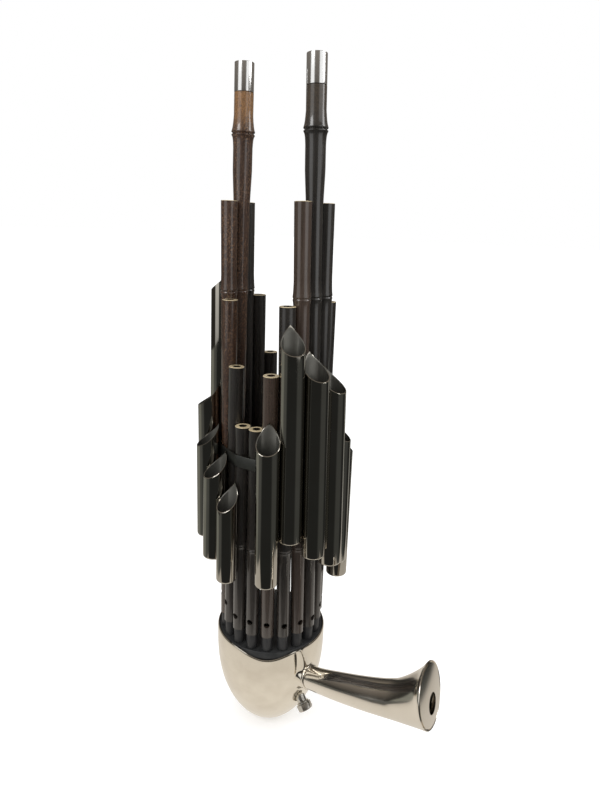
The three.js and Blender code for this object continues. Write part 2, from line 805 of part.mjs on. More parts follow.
const mouthEnd = new THREE.Group();
mouthEnd.position.copy(neckFrame.position);
mouthEnd.rotation.copy(neckFrame.rotation);
addPiece(mouthEnd, 'mouthpiece_collar', collarGeometry(), nickel);
addPiece(mouthEnd, 'mouthpiece', mouthpieceGeometry(), nickel);
addPiece(mouthEnd, 'mouth_plate', mouthPlateGeometry(), nickel);
sheng.add(mouthEnd);

const drain = new THREE.Group();
drain.position.copy(plugFrame.position);
drain.rotation.copy(plugFrame.rotation);
addPiece(drain, 'drain_plug', plugGeometry(), nickel);
addPiece(drain, 'drain_washer', washerGeometry(), nickel);
sheng.add(drain);

const pipeRing = new THREE.Group();
pipeRing.position.z = plateTop;
pipeRing.rotation.z = rad(ringTurn);
addPiece(pipeRing, 'hoop', hoopGeometry(), hoopSteel);
sheng.add(pipeRing);

const brownPipes = [10, 12];
const redPipes = [4, 5, 6];

function bambooOf(number) {
  if (redPipes.includes(number)) return redBamboo;
  return brownPipes.includes(number) ? brownBamboo : blackBamboo;
}

pipes.forEach((pipe, slot) => {
  const seat = new THREE.Group();
  seat.position.set(...polar(ringRadius, pipeAngle(slot), 0));
  const foot = addPiece(seat, numbered('reed_foot', slot), footGeometry(), blackFoot);
  foot.rotation.z = rad(pipeAngle(slot));
  const stem = new THREE.Group();
  stem.position.z = pipeBottom;
  const [leanX, leanY] = pipe.lean;
  stem.rotation.set(-rad(leanY), rad(leanX), rad(pipeAngle(slot)));
  addPiece(stem, numbered('pipe', slot), pipeGeometry(pipe), bambooOf(slot + 1));
  if (pipe.tube) addPiece(stem, numbered('resonator', slot), tubeGeometry(pipe), darkNickel);
  if (pipe.level === 'first') addPiece(stem, numbered('end_sleeve', slot), sleeveGeometry(), sleeveSilver);
  seat.add(stem);
  pipeRing.add(seat);
});

export default sheng;
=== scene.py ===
# %% [markdown]
# # Dressing a sheng mouth organ
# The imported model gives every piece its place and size. This script gives each of them its fine
# surface and finish: turned and polished nickel, lacquered bamboo, black wood and hard rubber.
# Everything is in metres, so sizes that are named in millimetres are multiplied by MM.

# %% Load the frame
import json
import math
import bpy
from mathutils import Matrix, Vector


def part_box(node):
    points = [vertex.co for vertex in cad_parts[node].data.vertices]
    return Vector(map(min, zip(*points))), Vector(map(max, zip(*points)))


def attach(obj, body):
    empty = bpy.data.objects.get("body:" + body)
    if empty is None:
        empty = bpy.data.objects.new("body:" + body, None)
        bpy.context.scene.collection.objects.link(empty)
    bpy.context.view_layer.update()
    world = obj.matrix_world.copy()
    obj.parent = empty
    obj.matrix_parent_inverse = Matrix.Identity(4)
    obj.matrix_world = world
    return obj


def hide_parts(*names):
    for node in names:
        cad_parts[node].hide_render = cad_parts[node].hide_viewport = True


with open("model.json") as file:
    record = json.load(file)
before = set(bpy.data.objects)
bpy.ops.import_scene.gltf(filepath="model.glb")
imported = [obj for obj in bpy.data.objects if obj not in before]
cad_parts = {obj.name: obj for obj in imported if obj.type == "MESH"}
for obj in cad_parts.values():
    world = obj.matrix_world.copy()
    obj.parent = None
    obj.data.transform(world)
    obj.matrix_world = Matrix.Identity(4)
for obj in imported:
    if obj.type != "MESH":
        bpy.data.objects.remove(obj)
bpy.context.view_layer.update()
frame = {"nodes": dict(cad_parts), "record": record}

from types import SimpleNamespace

import bmesh
import bpy
from mathutils import Matrix, Vector
from mathutils.geometry import convex_hull_2d

MM = 0.001
BODY = "instrument"

# %% [markdown]
# ## The camera
# The photograph was taken from above and in front, with the mouthpiece towards the lower right.
# The lens is 27 mm on a 36 mm sensor, measured along the picture's long side.

# %% Camera
CAMERA_PLACE = Vector((242.33, -310.17, 361.17)) * MM
CAMERA_DOWN = 0.2744236
CAMERA_ROLL = 0.0380707
CAMERA_SWING = 0.0393363
CAMERA_SIDE = math.radians(38)
LENS_MM = 27
SENSOR_MM = 36


def add_camera():
    """Sets the camera where the photograph was taken."""
    lens = bpy.data.cameras.new("photo_camera")
    lens.lens = LENS_MM
    lens.sensor_width = SENSOR_MM
    lens.clip_start = 10 * MM
    camera = bpy.data.objects.new("photo_camera", lens)
    bpy.context.scene.collection.objects.link(camera)
    camera.matrix_world = (
        Matrix.Translation(CAMERA_PLACE)
        @ Matrix.Rotation(CAMERA_SIDE - CAMERA_SWING, 4, "Z")
        @ Matrix.Rotation(math.pi / 2 - CAMERA_DOWN, 4, "X")
        @ Matrix.Rotation(CAMERA_ROLL, 4, "Z")
    )
    bpy.context.scene.camera = camera
    return camera


camera = add_camera()
print("camera at", [round(v / MM, 1) for v in camera.matrix_world.translation])

# %% [markdown]
# ## Small tools
# Short helpers put nodes down and wire them, where a value for an input is either a number or
# another node's output. Others make a mesh, settle its modifiers and hand the piece over.

# %% Helpers for nodes
def fill(tree, node, inputs):
    """Fills a node's inputs, found by name or by number."""
    for key, value in inputs.items():
        socket = node.inputs[key]
        if isinstance(value, bpy.types.NodeSocket):
            tree.links.new(value, socket)
        else:
            socket.default_value = value
    return node


def put(tree, kind, inputs=None, **settings):
    """Adds one node with its settings and inputs."""
    made = tree.nodes.new(kind)
    for name, value in settings.items():
        setattr(made, name, value)
    return fill(tree, made, inputs or {})


def result(tree, kind, inputs=None, **settings):
    """Adds one node and gives its first output."""
    return put(tree, kind, inputs, **settings).outputs[0]


def sum_of(tree, operation, *values):
    """Does one sum on numbers or outputs, and gives its result as an output."""
    return result(tree, "ShaderNodeMath", dict(enumerate(values)), operation=operation)


def product(tree, *values):
    """Multiplies two numbers or outputs."""
    return sum_of(tree, "MULTIPLY", *values)


def split(tree, vector):
    """Parts a vector into X, Y and Z."""
    return put(tree, "ShaderNodeSeparateXYZ", {0: vector}).outputs


def open_tree(name, **sockets):
    """Starts a Geometry Nodes tree with named inputs, a finish among them."""
    tree = bpy.data.node_groups.new(name, "GeometryNodeTree")
    sockets = {"Geometry": "Geometry", **sockets, "Finish": "Material"}
    for label, kind in sockets.items():
        tree.interface.new_socket(label, in_out="INPUT", socket_type="NodeSocket" + kind)
    tree.interface.new_socket("Geometry", in_out="OUTPUT", socket_type="NodeSocketGeometry")
    return tree, tree.nodes.new("NodeGroupInput").outputs


def close_tree(tree, given, geometry):
    """Ends a tree in real geometry with its finish."""
    real = result(tree, "GeometryNodeRealizeInstances", {"Geometry": geometry})
    dressed = result(tree, "GeometryNodeSetMaterial", {"Geometry": real, "Material": given["Finish"]})
    put(tree, "NodeGroupOutput", {0: dressed})


# %% Helpers for pieces
CREASE = 32
TURNED_CREASE = 40
BOWL_CREASE = 38
SCREW_CREASE = 28


def in_mm(**sizes):
    """Names sizes that are given in millimetres, and keeps them in metres."""
    return SimpleNamespace(**{name: size * MM for name, size in sizes.items()})


def mesh_object(name, points, faces=(), edges=()):
    """Makes an object from points in metres and faces or edges between them."""
    mesh = bpy.data.meshes.new(name)
    mesh.from_pydata([tuple(point) for point in points], list(edges), list(faces))
    piece = bpy.data.objects.new(name, mesh)
    bpy.context.scene.collection.objects.link(piece)
    return piece


def settle(piece):
    """Turns an object and its modifiers into a plain mesh."""
    bpy.context.view_layer.update()
    evaluated = piece.evaluated_get(bpy.context.evaluated_depsgraph_get())
    mesh = bpy.data.meshes.new_from_object(evaluated)
    piece.modifiers.clear()
    old = piece.data
    piece.data = mesh
    bpy.data.meshes.remove(old)
    mesh.name = piece.name
    return piece


def crease_by_angle(piece, degrees=CREASE):
    """Smooths a mesh and leaves its sharp edges sharp."""
    mesh = piece.data
    mesh.polygons.foreach_set("use_smooth", [True] * len(mesh.polygons))
    mesh.set_sharp_from_angle(angle=math.radians(degrees))
    return piece


def grow(piece, tree, finish, **values):
    """Runs a Geometry Nodes tree on an object, with its inputs set by their identifiers."""
    modifier = piece.modifiers.new(tree.name, "NODES")
    modifier.node_group = tree
    values["Finish"] = finish
    for item in tree.interface.items_tree:
        if item.in_out == "INPUT" and item.name in values:
            modifier[item.identifier] = values[item.name]
    return crease_by_angle(settle(piece), TURNED_CREASE)


def combine(piece, others, operation):
    """Cuts other objects from a piece or joins them to it, and removes them."""
    for other in others:
        boolean = piece.modifiers.new("boolean", "BOOLEAN")
        boolean.object = other
        boolean.operation = operation
        boolean.solver = "EXACT"
    settle(piece)
    for other in others:
        bpy.data.objects.remove(other)
    return piece


def finish_faces(piece, finish, chosen):
    """Gives a second finish to the faces that a rule chooses."""
    piece.data.materials.append(finish)
    for face in piece.data.polygons:
        if chosen(face):
            face.material_index = len(piece.data.materials) - 1


def hand_over(piece, nodes, body=BODY, place=Matrix()):
    """Puts a finished piece in its place, where it stands for its CAD nodes and rides on their body."""
    piece.data.transform(place)
    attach(piece, body)
    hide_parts(*nodes)
    return piece


def numbers_of(prefix):
    """Lists the numbers of the CAD nodes whose names start with a word."""
    return sorted(int(name[-2:]) for name in frame["nodes"] if name.startswith(prefix + "_"))


PIPES = numbers_of("pipe")
TUBES = numbers_of("resonator")
SLEEVES = numbers_of("end_sleeve")
print(len(PIPES), "pipes,", len(TUBES), "resonator tubes,", len(SLEEVES), "end sleeves")

# %% [markdown]
# ## Finding each pipe's axis
# The pipes lean a little, each in its own way. The corners of a pipe's CAD solid lie in rings,
# so the middles of its lowest and highest rings give its axis, and the rings give its outline.

# %% Axes and outlines from the frame
RING_BAND = 0.5 * MM
RING_CORNERS = 8
SHOULDER = 0.5 * MM


def corners_of(node):
    """Gives the corners of a CAD node, each once."""
    seen = {}
    for vertex in frame["nodes"][node].data.vertices:
        seen[tuple(round(v / MM, 3) for v in vertex.co)] = vertex.co.copy()
    return list(seen.values())


def corners_in(node, matrix):
    """Gives the corners of a CAD node in another frame."""
    back = matrix.inverted()
    return [back @ point for point in corners_of(node)]


def middle(points):
    """Gives the mean of some points."""
    return sum(points, Vector()) / len(points)


def pipe_frame(number):
    """Gives the matrix of a pipe's own frame: Z along it, X away from the ring's middle."""
    points = corners_of(f"pipe_{number:02d}")
    low = min(point.z for point in points)
    high = max(point.z for point in points)
    foot = middle([point for point in points if point.z < low + RING_BAND])
    tip = middle([point for point in points if point.z > high - RING_BAND])
    along = (tip - foot).normalized()
    out = Vector((foot.x, foot.y, 0))
    out = (out - along * out.dot(along)).normalized()
    turn = Matrix((out, along.cross(out), along)).transposed().to_4x4()
    return Matrix.Translation(foot) @ turn


def outline_in(node, matrix):
    """Measures the rings of a turned CAD node: [height, outer radius] from the bottom up."""
    rings = {}
    for point in corners_in(node, matrix):
        rings.setdefault(round(point.z / MM, 1), []).append(math.hypot(point.x, point.y))
    return [[h * MM, max(radii)] for h, radii in sorted(rings.items()) if len(radii) >= RING_CORNERS]


pipe_frames = {number: pipe_frame(number) for number in PIPES}
outlines = {number: outline_in(f"pipe_{number:02d}", pipe_frames[number]) for number in PIPES}
for outline in outlines.values():
    (shoulder_height, shoulder_radius), (_, tip_radius) = outline[-2:]
    if shoulder_radius - tip_radius > SHOULDER:
        outline.insert(-1, [shoulder_height + 0.01 * MM, tip_radius])
for number in PIPES[:3]:
    print("pipe", number, [(round(h / MM, 1), round(r / MM, 2)) for h, r in outlines[number]])

# %% [markdown]
# ## The lathe
# Most of this instrument is turned. The tree takes an outline as a chain of points, whose X is
# the radius, Y how far the ring is shifted aside, and Z the height. It puts a ring at each point
# of the chain and a band of faces between two rings.

# %% A tree that turns an outline
SAME_POINT = 0.001 * MM


def turning_tree():
    """Makes the tree that turns a chain of points round Z."""
    tree, given = open_tree("turn_on_the_lathe", Sides="Int")
    chain = given["Geometry"]
    count = put(tree, "GeometryNodeAttributeDomainSize", {"Geometry": chain}, component="MESH")
    spans = sum_of(tree, "SUBTRACT", count.outputs["Point Count"], 1)
    blank = put(
        tree, "GeometryNodeMeshCylinder",
        {"Vertices": given["Sides"], "Side Segments": spans, "Radius": 1.0, "Depth": 1.0},
        fill_type="NONE",
    )
    here = result(tree, "GeometryNodeInputPosition")
    spot = split(tree, here)
    ring = sum_of(tree, "ROUND", product(tree, sum_of(tree, "ADD", spot["Z"], 0.5), spans))
    found = put(
        tree, "GeometryNodeSampleIndex", {"Geometry": chain, "Value": here, "Index": ring},
        data_type="FLOAT_VECTOR", domain="POINT",
    )
    outline = split(tree, found.outputs["Value"])
    across = sum_of(tree, "MULTIPLY_ADD", spot["X"], outline["X"], outline["Y"])
    aside = product(tree, spot["Y"], outline["X"])
    place = result(tree, "ShaderNodeCombineXYZ", {"X": across, "Y": aside, "Z": outline["Z"]})
    inputs = {"Geometry": blank.outputs["Mesh"], "Position": place}
    inputs = {"Geometry": result(tree, "GeometryNodeSetPosition", inputs), "Distance": SAME_POINT}
    close_tree(tree, given, result(tree, "GeometryNodeMergeByDistance", inputs))
    return tree


LATHE = turning_tree()


def turned(name, chain, finish, sides=64):
    """Turns an outline of (radius, height) or (radius, aside, height) in metres."""
    points = [p if len(p) == 3 else (p[0], 0.0, p[1]) for p in chain]
    edges = [(i, i + 1) for i in range(len(points) - 1)]
    return grow(mesh_object(name, points, edges=edges), LATHE, finish, Sides=sides)


def rounded(corner_before, corner, corner_after, radius, steps=4):
    """Gives the points of a fillet at one corner of an outline."""
    point = Vector(corner)
    to_before = Vector(corner_before) - point
    to_after = Vector(corner_after) - point
    reach = min(radius, to_before.length / 2, to_after.length / 2)
    start = point + to_before.normalized() * reach
    end = point + to_after.normalized() * reach
    shares = [step / steps for step in range(steps + 1)]
    return [tuple(start * (1 - s) ** 2 + point * 2 * s * (1 - s) + end * s * s) for s in shares]


def soften(chain, radius):
    """Rounds every corner of an outline by one radius."""
    out = [chain[0]]
    for corners in zip(chain, chain[1:], chain[2:]):
        out += rounded(*corners, radius)
    return out + [chain[-1]]


def rod(name, radius, start, end, finish, place=Matrix(), sides=64):
    """Turns a plain rod and sets it in place, as a cutter or a core."""
    piece = turned(name, [(0, start), (radius, start), (radius, end), (0, end)], finish, sides)
    piece.data.transform(place)
    return piece


def ring(name, inner, outer, low, high, edge, finish, sides):
    """Turns a ring with rounded edges."""
    corners = [(inner, low), (outer, low), (outer, high), (inner, high)]
    chain = soften(corners + corners[:2], edge)[1:-1]
    return turned(name, chain + [chain[0]], finish, sides)


print("the lathe tree has", len(LATHE.nodes), "nodes")

# %% [markdown]
# ## Finishes
# Each finish is a small tree of shader nodes on the piece's own coordinates. Constants such as
# the coat go on the shader's own sockets.

# %% Tools for materials
def open_material(name):
    """Starts a material and gives its tree, its shader and the object coordinates."""
    material = bpy.data.materials.new(name)
    material.use_nodes = True
    tree = material.node_tree
    shader = tree.nodes["Principled BSDF"]
    place = put(tree, "ShaderNodeTexCoord").outputs["Object"]
    return material, tree, shader, place


def noise(tree, place, scale, stretch=(1, 1, 1), detail=4.0, roughness=0.55):
    """Adds a noise whose size can be stretched along each axis."""
    mapped = result(tree, "ShaderNodeMapping", {"Vector": place, "Scale": stretch})
    inputs = {"Vector": mapped, "Scale": scale, "Detail": detail, "Roughness": roughness}
    return put(tree, "ShaderNodeTexNoise", inputs).outputs["Fac"]


def ramp(tree, value, stops):
    """Adds a colour ramp with the given stops of position and colour."""
    made = put(tree, "ShaderNodeValToRGB", {0: value})
    elements = made.color_ramp.elements
    elements[0].position, elements[0].color = stops[0][0], (*stops[0][1], 1)
    elements[1].position, elements[1].color = stops[-1][0], (*stops[-1][1], 1)
    for position, color in stops[1:-1]:
        elements.new(position).color = (*color, 1)
    return made.outputs[0]


def fit(tree, value, low, high, to_low, to_high):
    """Maps a value from one range to another, clamped."""
    inputs = {"Value": value, "From Min": low, "From Max": high, "To Min": to_low, "To Max": to_high}
    return result(tree, "ShaderNodeMapRange", inputs)


def mixed(tree, share, below, above):
    """Mixes two colours."""
    return put(tree, "ShaderNodeMix", {0: share, 6: below, 7: above}, data_type="RGBA").outputs[2]


def bump(tree, height, strength, distance):
    """Adds a bump node from a height."""
    inputs = {"Height": height, "Strength": strength, "Distance": distance}
    return result(tree, "ShaderNodeBump", inputs)


# %% Metals
def metal(name, color, shade, roughness, wear=0.03):
    """Makes a plated metal: two near colours in soft clouds, and fine uneven polish."""
    material, tree, shader, place = open_material(name)
    clouds = noise(tree, place, 60, detail=3.0)
    fill(tree, shader, {
        "Base Color": ramp(tree, clouds, [(0.35, shade), (0.65, color)]),
        "Roughness": fit(tree, clouds, 0.3, 0.8, roughness, roughness + wear), "Metallic": 1.0,
    })
    return material


nickel = metal("warm_nickel", (0.86, 0.805, 0.70), (0.78, 0.72, 0.62), 0.10)
mouth_nickel = metal("mouthpiece_nickel", (0.84, 0.79, 0.705), (0.81, 0.755, 0.67), 0.13)
plug_nickel = metal("plug_nickel", (0.66, 0.64, 0.59), (0.52, 0.50, 0.46), 0.22)
tube_nickel = metal("tube_nickel", (0.56, 0.53, 0.47), (0.52, 0.49, 0.43), 0.04, 0.02)
# The insides of the tubes take a rougher metal whose darker colour is painted shade in the hollow.
tube_inside_painted_shade = metal("tube_inside_painted_shade", (0.20, 0.195, 0.175), (0.15, 0.147, 0.13), 0.42)
tube_inside_painted_shade.node_tree.nodes["Principled BSDF"].inputs["Metallic"].default_value = 0.75
silver = metal("sleeve_silver", (0.90, 0.90, 0.89), (0.84, 0.84, 0.83), 0.16, 0.04)
hoop_steel = metal("hoop_steel", (0.15, 0.155, 0.145), (0.11, 0.113, 0.105), 0.42)
print("metals:", [m.name for m in (nickel, mouth_nickel, plug_nickel, tube_nickel, silver, hoop_steel)])


# %% Black wood and hard rubber
def black(name, color, worn, roughness):
    """Makes a satin black with faint turning marks and grey wear."""
    material, tree, shader, place = open_material(name)
    cloud = noise(tree, place, 220, detail=6.0)
    fine = noise(tree, place, 2500, detail=2.0)
    fill(tree, shader, {
        "Base Color": ramp(tree, cloud, [(0.35, color), (0.75, worn)]),
        "Roughness": fit(tree, cloud, 0.3, 0.8, roughness, roughness + 0.15),
        "Normal": bump(tree, fine, 0.08, 0.05 * MM),
    })
    return material


plate_black = black("plate_hard_rubber", (0.019, 0.020, 0.021), (0.033, 0.034, 0.034), 0.42)
foot_black = black("foot_black_wood", (0.017, 0.017, 0.018), (0.032, 0.032, 0.032), 0.40)


# %% Bamboo
def bamboo(name, dark, light, mottle, speckle, tip):
    """Makes lacquered bamboo: streaks along the pipe, mottling, pale cut ends, clear coat."""
    material, tree, shader, _ = open_material(name)
    place = put(tree, "ShaderNodeAttribute", attribute_name="pipe_place").outputs["Vector"]
    height = put(tree, "ShaderNodeAttribute", attribute_name="pipe_height").outputs["Fac"]
    streaks = noise(tree, place, 1.0, stretch=(0.55, 0.55, 0.02), detail=5.0)
    spots = noise(tree, place, 1.0, stretch=(1.3, 1.3, 0.9), detail=3.0, roughness=0.6)
    patches = noise(tree, place, 1.0, stretch=(0.16, 0.16, 0.035), detail=2.0)
    base = ramp(tree, streaks, [(0.3, dark), (0.72, light)])
    coming = product(tree, fit(tree, patches, 0.38, 0.62, 0.25, 1.0), speckle)
    flecks = product(tree, fit(tree, spots, 0.50, 0.60, 0.0, 1.0), coming)
    mottled = mixed(tree, flecks, base, (*mottle, 1))
    high_up = fit(tree, height, *GOLDEN_FROM, 0.0, 1.0)
    golden = product(tree, high_up, fit(tree, spots, 0.36, 0.60, 0.35, 1.0))
    topped = mixed(tree, golden, mottled, (*tip, 1))
    grey = mixed(tree, fit(tree, height, *GREY_UP_TO, 0.55, 0.0), topped, LOW_GREY)
    cut = put(tree, "ShaderNodeAttribute", attribute_name="cut_end").outputs["Fac"]
    cane = ramp(tree, spots, [(0.3, (0.55, 0.42, 0.23)), (0.7, (0.80, 0.68, 0.45))])
    wrinkles = sum_of(tree, "ADD", streaks, product(tree, spots, 0.5))
    fill(tree, shader, {
        "Base Color": mixed(tree, cut, grey, cane), "Roughness": fit(tree, streaks, 0.3, 0.75, 0.24, 0.38),
        "Coat Weight": 1.0, "Coat Roughness": 0.07, "Normal": bump(tree, wrinkles, 0.22, 0.15 * MM),
    })
    return material


LOW_GREY = (0.030, 0.024, 0.020, 1)
GREY_UP_TO = (20, 120)
GOLDEN_FROM = (330, 342)
BAMBOOS = {
    "bamboo_black": [(0.010, 0.009, 0.008), (0.022, 0.019, 0.016), (0.048, 0.036, 0.026), 0.35,
                     (0.050, 0.036, 0.024)],
    "bamboo_brown": [(0.032, 0.021, 0.015), (0.062, 0.040, 0.029), (0.085, 0.058, 0.040), 0.35,
                     (0.07, 0.045, 0.03)],
    "bamboo_red": [(0.024, 0.013, 0.009), (0.058, 0.031, 0.020), (0.19, 0.105, 0.055), 0.75,
                   (0.25, 0.125, 0.045)],
}
FINISH_OF_SLOT = {slot: bamboo(slot, *looks) for slot, looks in BAMBOOS.items()}
SLOT_OF_NODE = {row["node"]: row["material_slot"] for row in frame["record"]["subparts"]}
print("bamboo finishes:", sorted(FINISH_OF_SLOT))

# %% [markdown]
# ## The bamboo pipes
# A bamboo stem is nearly straight between its nodes. At a node it swells, carries a fine groove
# between two ridges, and goes on a little thinner. The outline is read from the frame, the
# swelling is drawn again in fine steps, and the lathe turns it. The finger hole is then cut.

# %% Pipes
NODE_SHARES = [
    (-9.0, 0.03), (-6.5, 0.10), (-4.6, 0.24), (-3.4, 0.42), (-2.6, 0.62), (-2.1, 0.86), (-1.8, 0.96),
    (-1.4, 0.92), (-1.1, 0.55), (-0.8, 0.42), (-0.5, 0.55), (-0.2, 0.95), (0.1, 1.05), (0.5, 1.0),
    (1.1, 0.84), (2.2, 0.62), (3.8, 0.42), (6.0, 0.22), (9.5, 0.05),
]
NODE_BOLD = 0.22 * MM
NODE_PROUD = 0.15 * MM
STEP_ALONG = 4 * MM
BORE_RADIUS = 2.6 * MM
WAVER = in_mm(size=0.10, length=37, settled=30)
WAVER_SHIFT = 1.7
CUT_EDGE = 0.25 * MM
HOLE_RADIUS = 2.1 * MM
HOLE_REACH = 9 * MM
HOLE_BELOW = 30 * MM
CUT_DEPTH = 0.3 * MM
PIPE_SPACING = 600.0


def radius_at(outline, height):
    """Reads a radius off an outline between its rings."""
    for (low, low_radius), (high, high_radius) in zip(outline, outline[1:]):
        if height <= high:
            share = (height - low) / (high - low)
            return low_radius + (high_radius - low_radius) * share
    return outline[-1][1]


def split_nodes(outline):
    """Parts an outline into its smooth rings and the bamboo's nodes."""
    smooth, nodes = [outline[0]], []
    for before, ring, after in zip(outline, outline[1:], outline[2:]):
        proud = ring[1] - max(before[1], after[1])
        (nodes if proud > NODE_PROUD else smooth).append(ring)
    return smooth + [outline[-1]], nodes


def pipe_chain(outline, number):
    """Gives the fine outline of a pipe: up the outside, over the cut end and down the bore."""
    smooth, nodes = split_nodes(outline)
    top = outline[-1][0]
    heights = {step * STEP_ALONG for step in range(int(top / STEP_ALONG) + 1)} | {top}
    heights |= {height for height, _ in outline[-3:]}
    for node_height, _ in nodes:
        heights |= {node_height + gap * MM for gap, _ in NODE_SHARES if node_height + gap * MM < top}
    chain = []
    for height in sorted(heights):
        radius = radius_at(smooth, height)
        for node_height, node_radius in nodes:
            gap = (height - node_height) / MM
            if NODE_SHARES[0][0] < gap < NODE_SHARES[-1][0]:
                share = radius_at([[g, s] for g, s in NODE_SHARES], gap)
                radius += (node_radius + NODE_BOLD - radius_at(smooth, node_height)) * share
        aside = math.sin(height / WAVER.length + number * WAVER_SHIFT) * min(1, height / WAVER.settled)
        aside *= WAVER.size
        chain.append((radius, aside, height))
    end_radius = chain[-1][0]
    chain[-1] = (end_radius, 0.0, top - CUT_EDGE)
    chain += [(end_radius - CUT_EDGE, 0.0, top), (BORE_RADIUS, 0.0, top)]
    chain += [(BORE_RADIUS, 0.0, 0.0), (chain[0][0], 0.0, 0.0)]
    return chain


def hole_height(number, matrix, outline):
    """Finds the finger hole: corners of the CAD pipe that lie in none of its rings, low down."""
    low = [point for point in corners_in(f"pipe_{number:02d}", matrix) if point.z < HOLE_BELOW]
    centre = middle([p for p in low if all(abs(p.z - height) > RING_BAND for height, _ in outline)])
    return centre.z, math.copysign(1.0, centre.x)


def mark_pipe(piece, number, top):
    """Stores the pipe's own coordinates and its height in mm, and which faces are its cut end."""
    mesh = piece.data
    mesh.attributes.new("pipe_place", "FLOAT_VECTOR", "POINT")
    mesh.attributes.new("pipe_height", "FLOAT", "POINT")
    mesh.attributes.new("cut_end", "FLOAT", "FACE")
    place, rise, cut = (mesh.attributes[name] for name in ("pipe_place", "pipe_height", "cut_end"))
    offset = Vector((0, 0, number * PIPE_SPACING))
    for vertex in mesh.vertices:
        place.data[vertex.index].vector = vertex.co / MM + offset
        rise.data[vertex.index].value = vertex.co.z / MM
    for face in mesh.polygons:
        cut.data[face.index].value = float(face.center.z > top - CUT_DEPTH)


def make_pipe(number):
    """Makes one bamboo pipe with its finger hole."""
    node = f"pipe_{number:02d}"
    matrix, outline = pipe_frames[number], outlines[number]
    finish = FINISH_OF_SLOT[SLOT_OF_NODE[node]]
    piece = turned(f"bamboo_{node}", pipe_chain(outline, number), finish, sides=40)
    height, side = hole_height(number, matrix, outline)
    place = Matrix.Translation((0, 0, height)) @ Matrix.Rotation(side * math.pi / 2, 4, "Y")
    drill = rod("drill", HOLE_RADIUS, 0, HOLE_REACH, finish, place, 24)
    combine(piece, [drill], "DIFFERENCE")
    mark_pipe(piece, number, outline[-1][0])
    crease_by_angle(piece)
    return hand_over(piece, [node], place=matrix)


pipes = [make_pipe(number) for number in PIPES]
print("pipes:", len(pipes), "with", sum(len(p.data.polygons) for p in pipes), "faces")

# %% [markdown]
# ## The resonator tubes
# Each tube is a thin metal wall with a closed round bottom. Its mouth is scooped: seen from
# outside, the cut rises from a low lip to a point beside the pipe, by the sine of half the angle
# round the tube. Moving the top rings by that rule gives a clean thin rim without a boolean.

# %% Tubes
SCOOP_HEIGHT = 16.5 * MM
TUBE_WALL = 0.6 * MM
TUBE_CORNER = 1.5 * MM
TUBE_LIP = 0.12 * MM
SADDLE = in_mm(low=10, pitch=16, height=7, width=4, clearance=0.3, edge=0.3)
SADDLE_COUNT = 2


def scoop_tree():
    """Makes the tree that drops the mouth of a tube by a rule of the angle round it."""
    tree, given = open_tree("scoop_the_mouth", Scoop="Float", From="Float", Radius="Float")
    spot = split(tree, result(tree, "GeometryNodeInputPosition"))
    outward = sum_of(tree, "DIVIDE", spot["X"], given["Radius"])
    share = sum_of(tree, "MULTIPLY_ADD", outward, 0.5, 0.5)
    clamped = sum_of(tree, "MAXIMUM", share, 0.0)
    drop = product(tree, sum_of(tree, "SQRT", clamped), given["Scoop"])
    lower = result(tree, "ShaderNodeCombineXYZ", {"Z": product(tree, drop, -1.0)})
    mouth = sum_of(tree, "GREATER_THAN", spot["Z"], given["From"])
    inputs = {"Geometry": given["Geometry"], "Offset": lower, "Selection": mouth}
    close_tree(tree, given, result(tree, "GeometryNodeSetPosition", inputs))
    return tree


SCOOP = scoop_tree()


def box_object(name, low, high, bevel, finish):
    """Makes a box with small rounded edges."""
    piece = mesh_object(name, [])
    work = bmesh.new()
    bmesh.ops.create_cube(work, size=1.0)
    size = Vector(high) - Vector(low)
    centre = (Vector(high) + Vector(low)) / 2
    bmesh.ops.scale(work, vec=size, verts=work.verts)
    bmesh.ops.translate(work, vec=centre, verts=work.verts)
    bmesh.ops.bevel(work, geom=work.edges[:], offset=bevel, segments=2, affect="EDGES", profile=0.5)
    work.to_mesh(piece.data)
    work.free()
    piece.data.materials.append(finish)
    return piece


def tube_sizes(number):
    """Measures a CAD tube in its pipe's frame: its middle, radius, bottom and tip."""
    points = corners_in(f"resonator_{number:02d}", pipe_frames[number])
    bottom = min(point.z for point in points)
    tip = max(point.z for point in points)
    floor = [point for point in points if point.z < bottom + 0.1 * MM]
    offset = middle(floor).x
    radius = max(point.x for point in points) - offset
    return offset, radius, bottom, tip


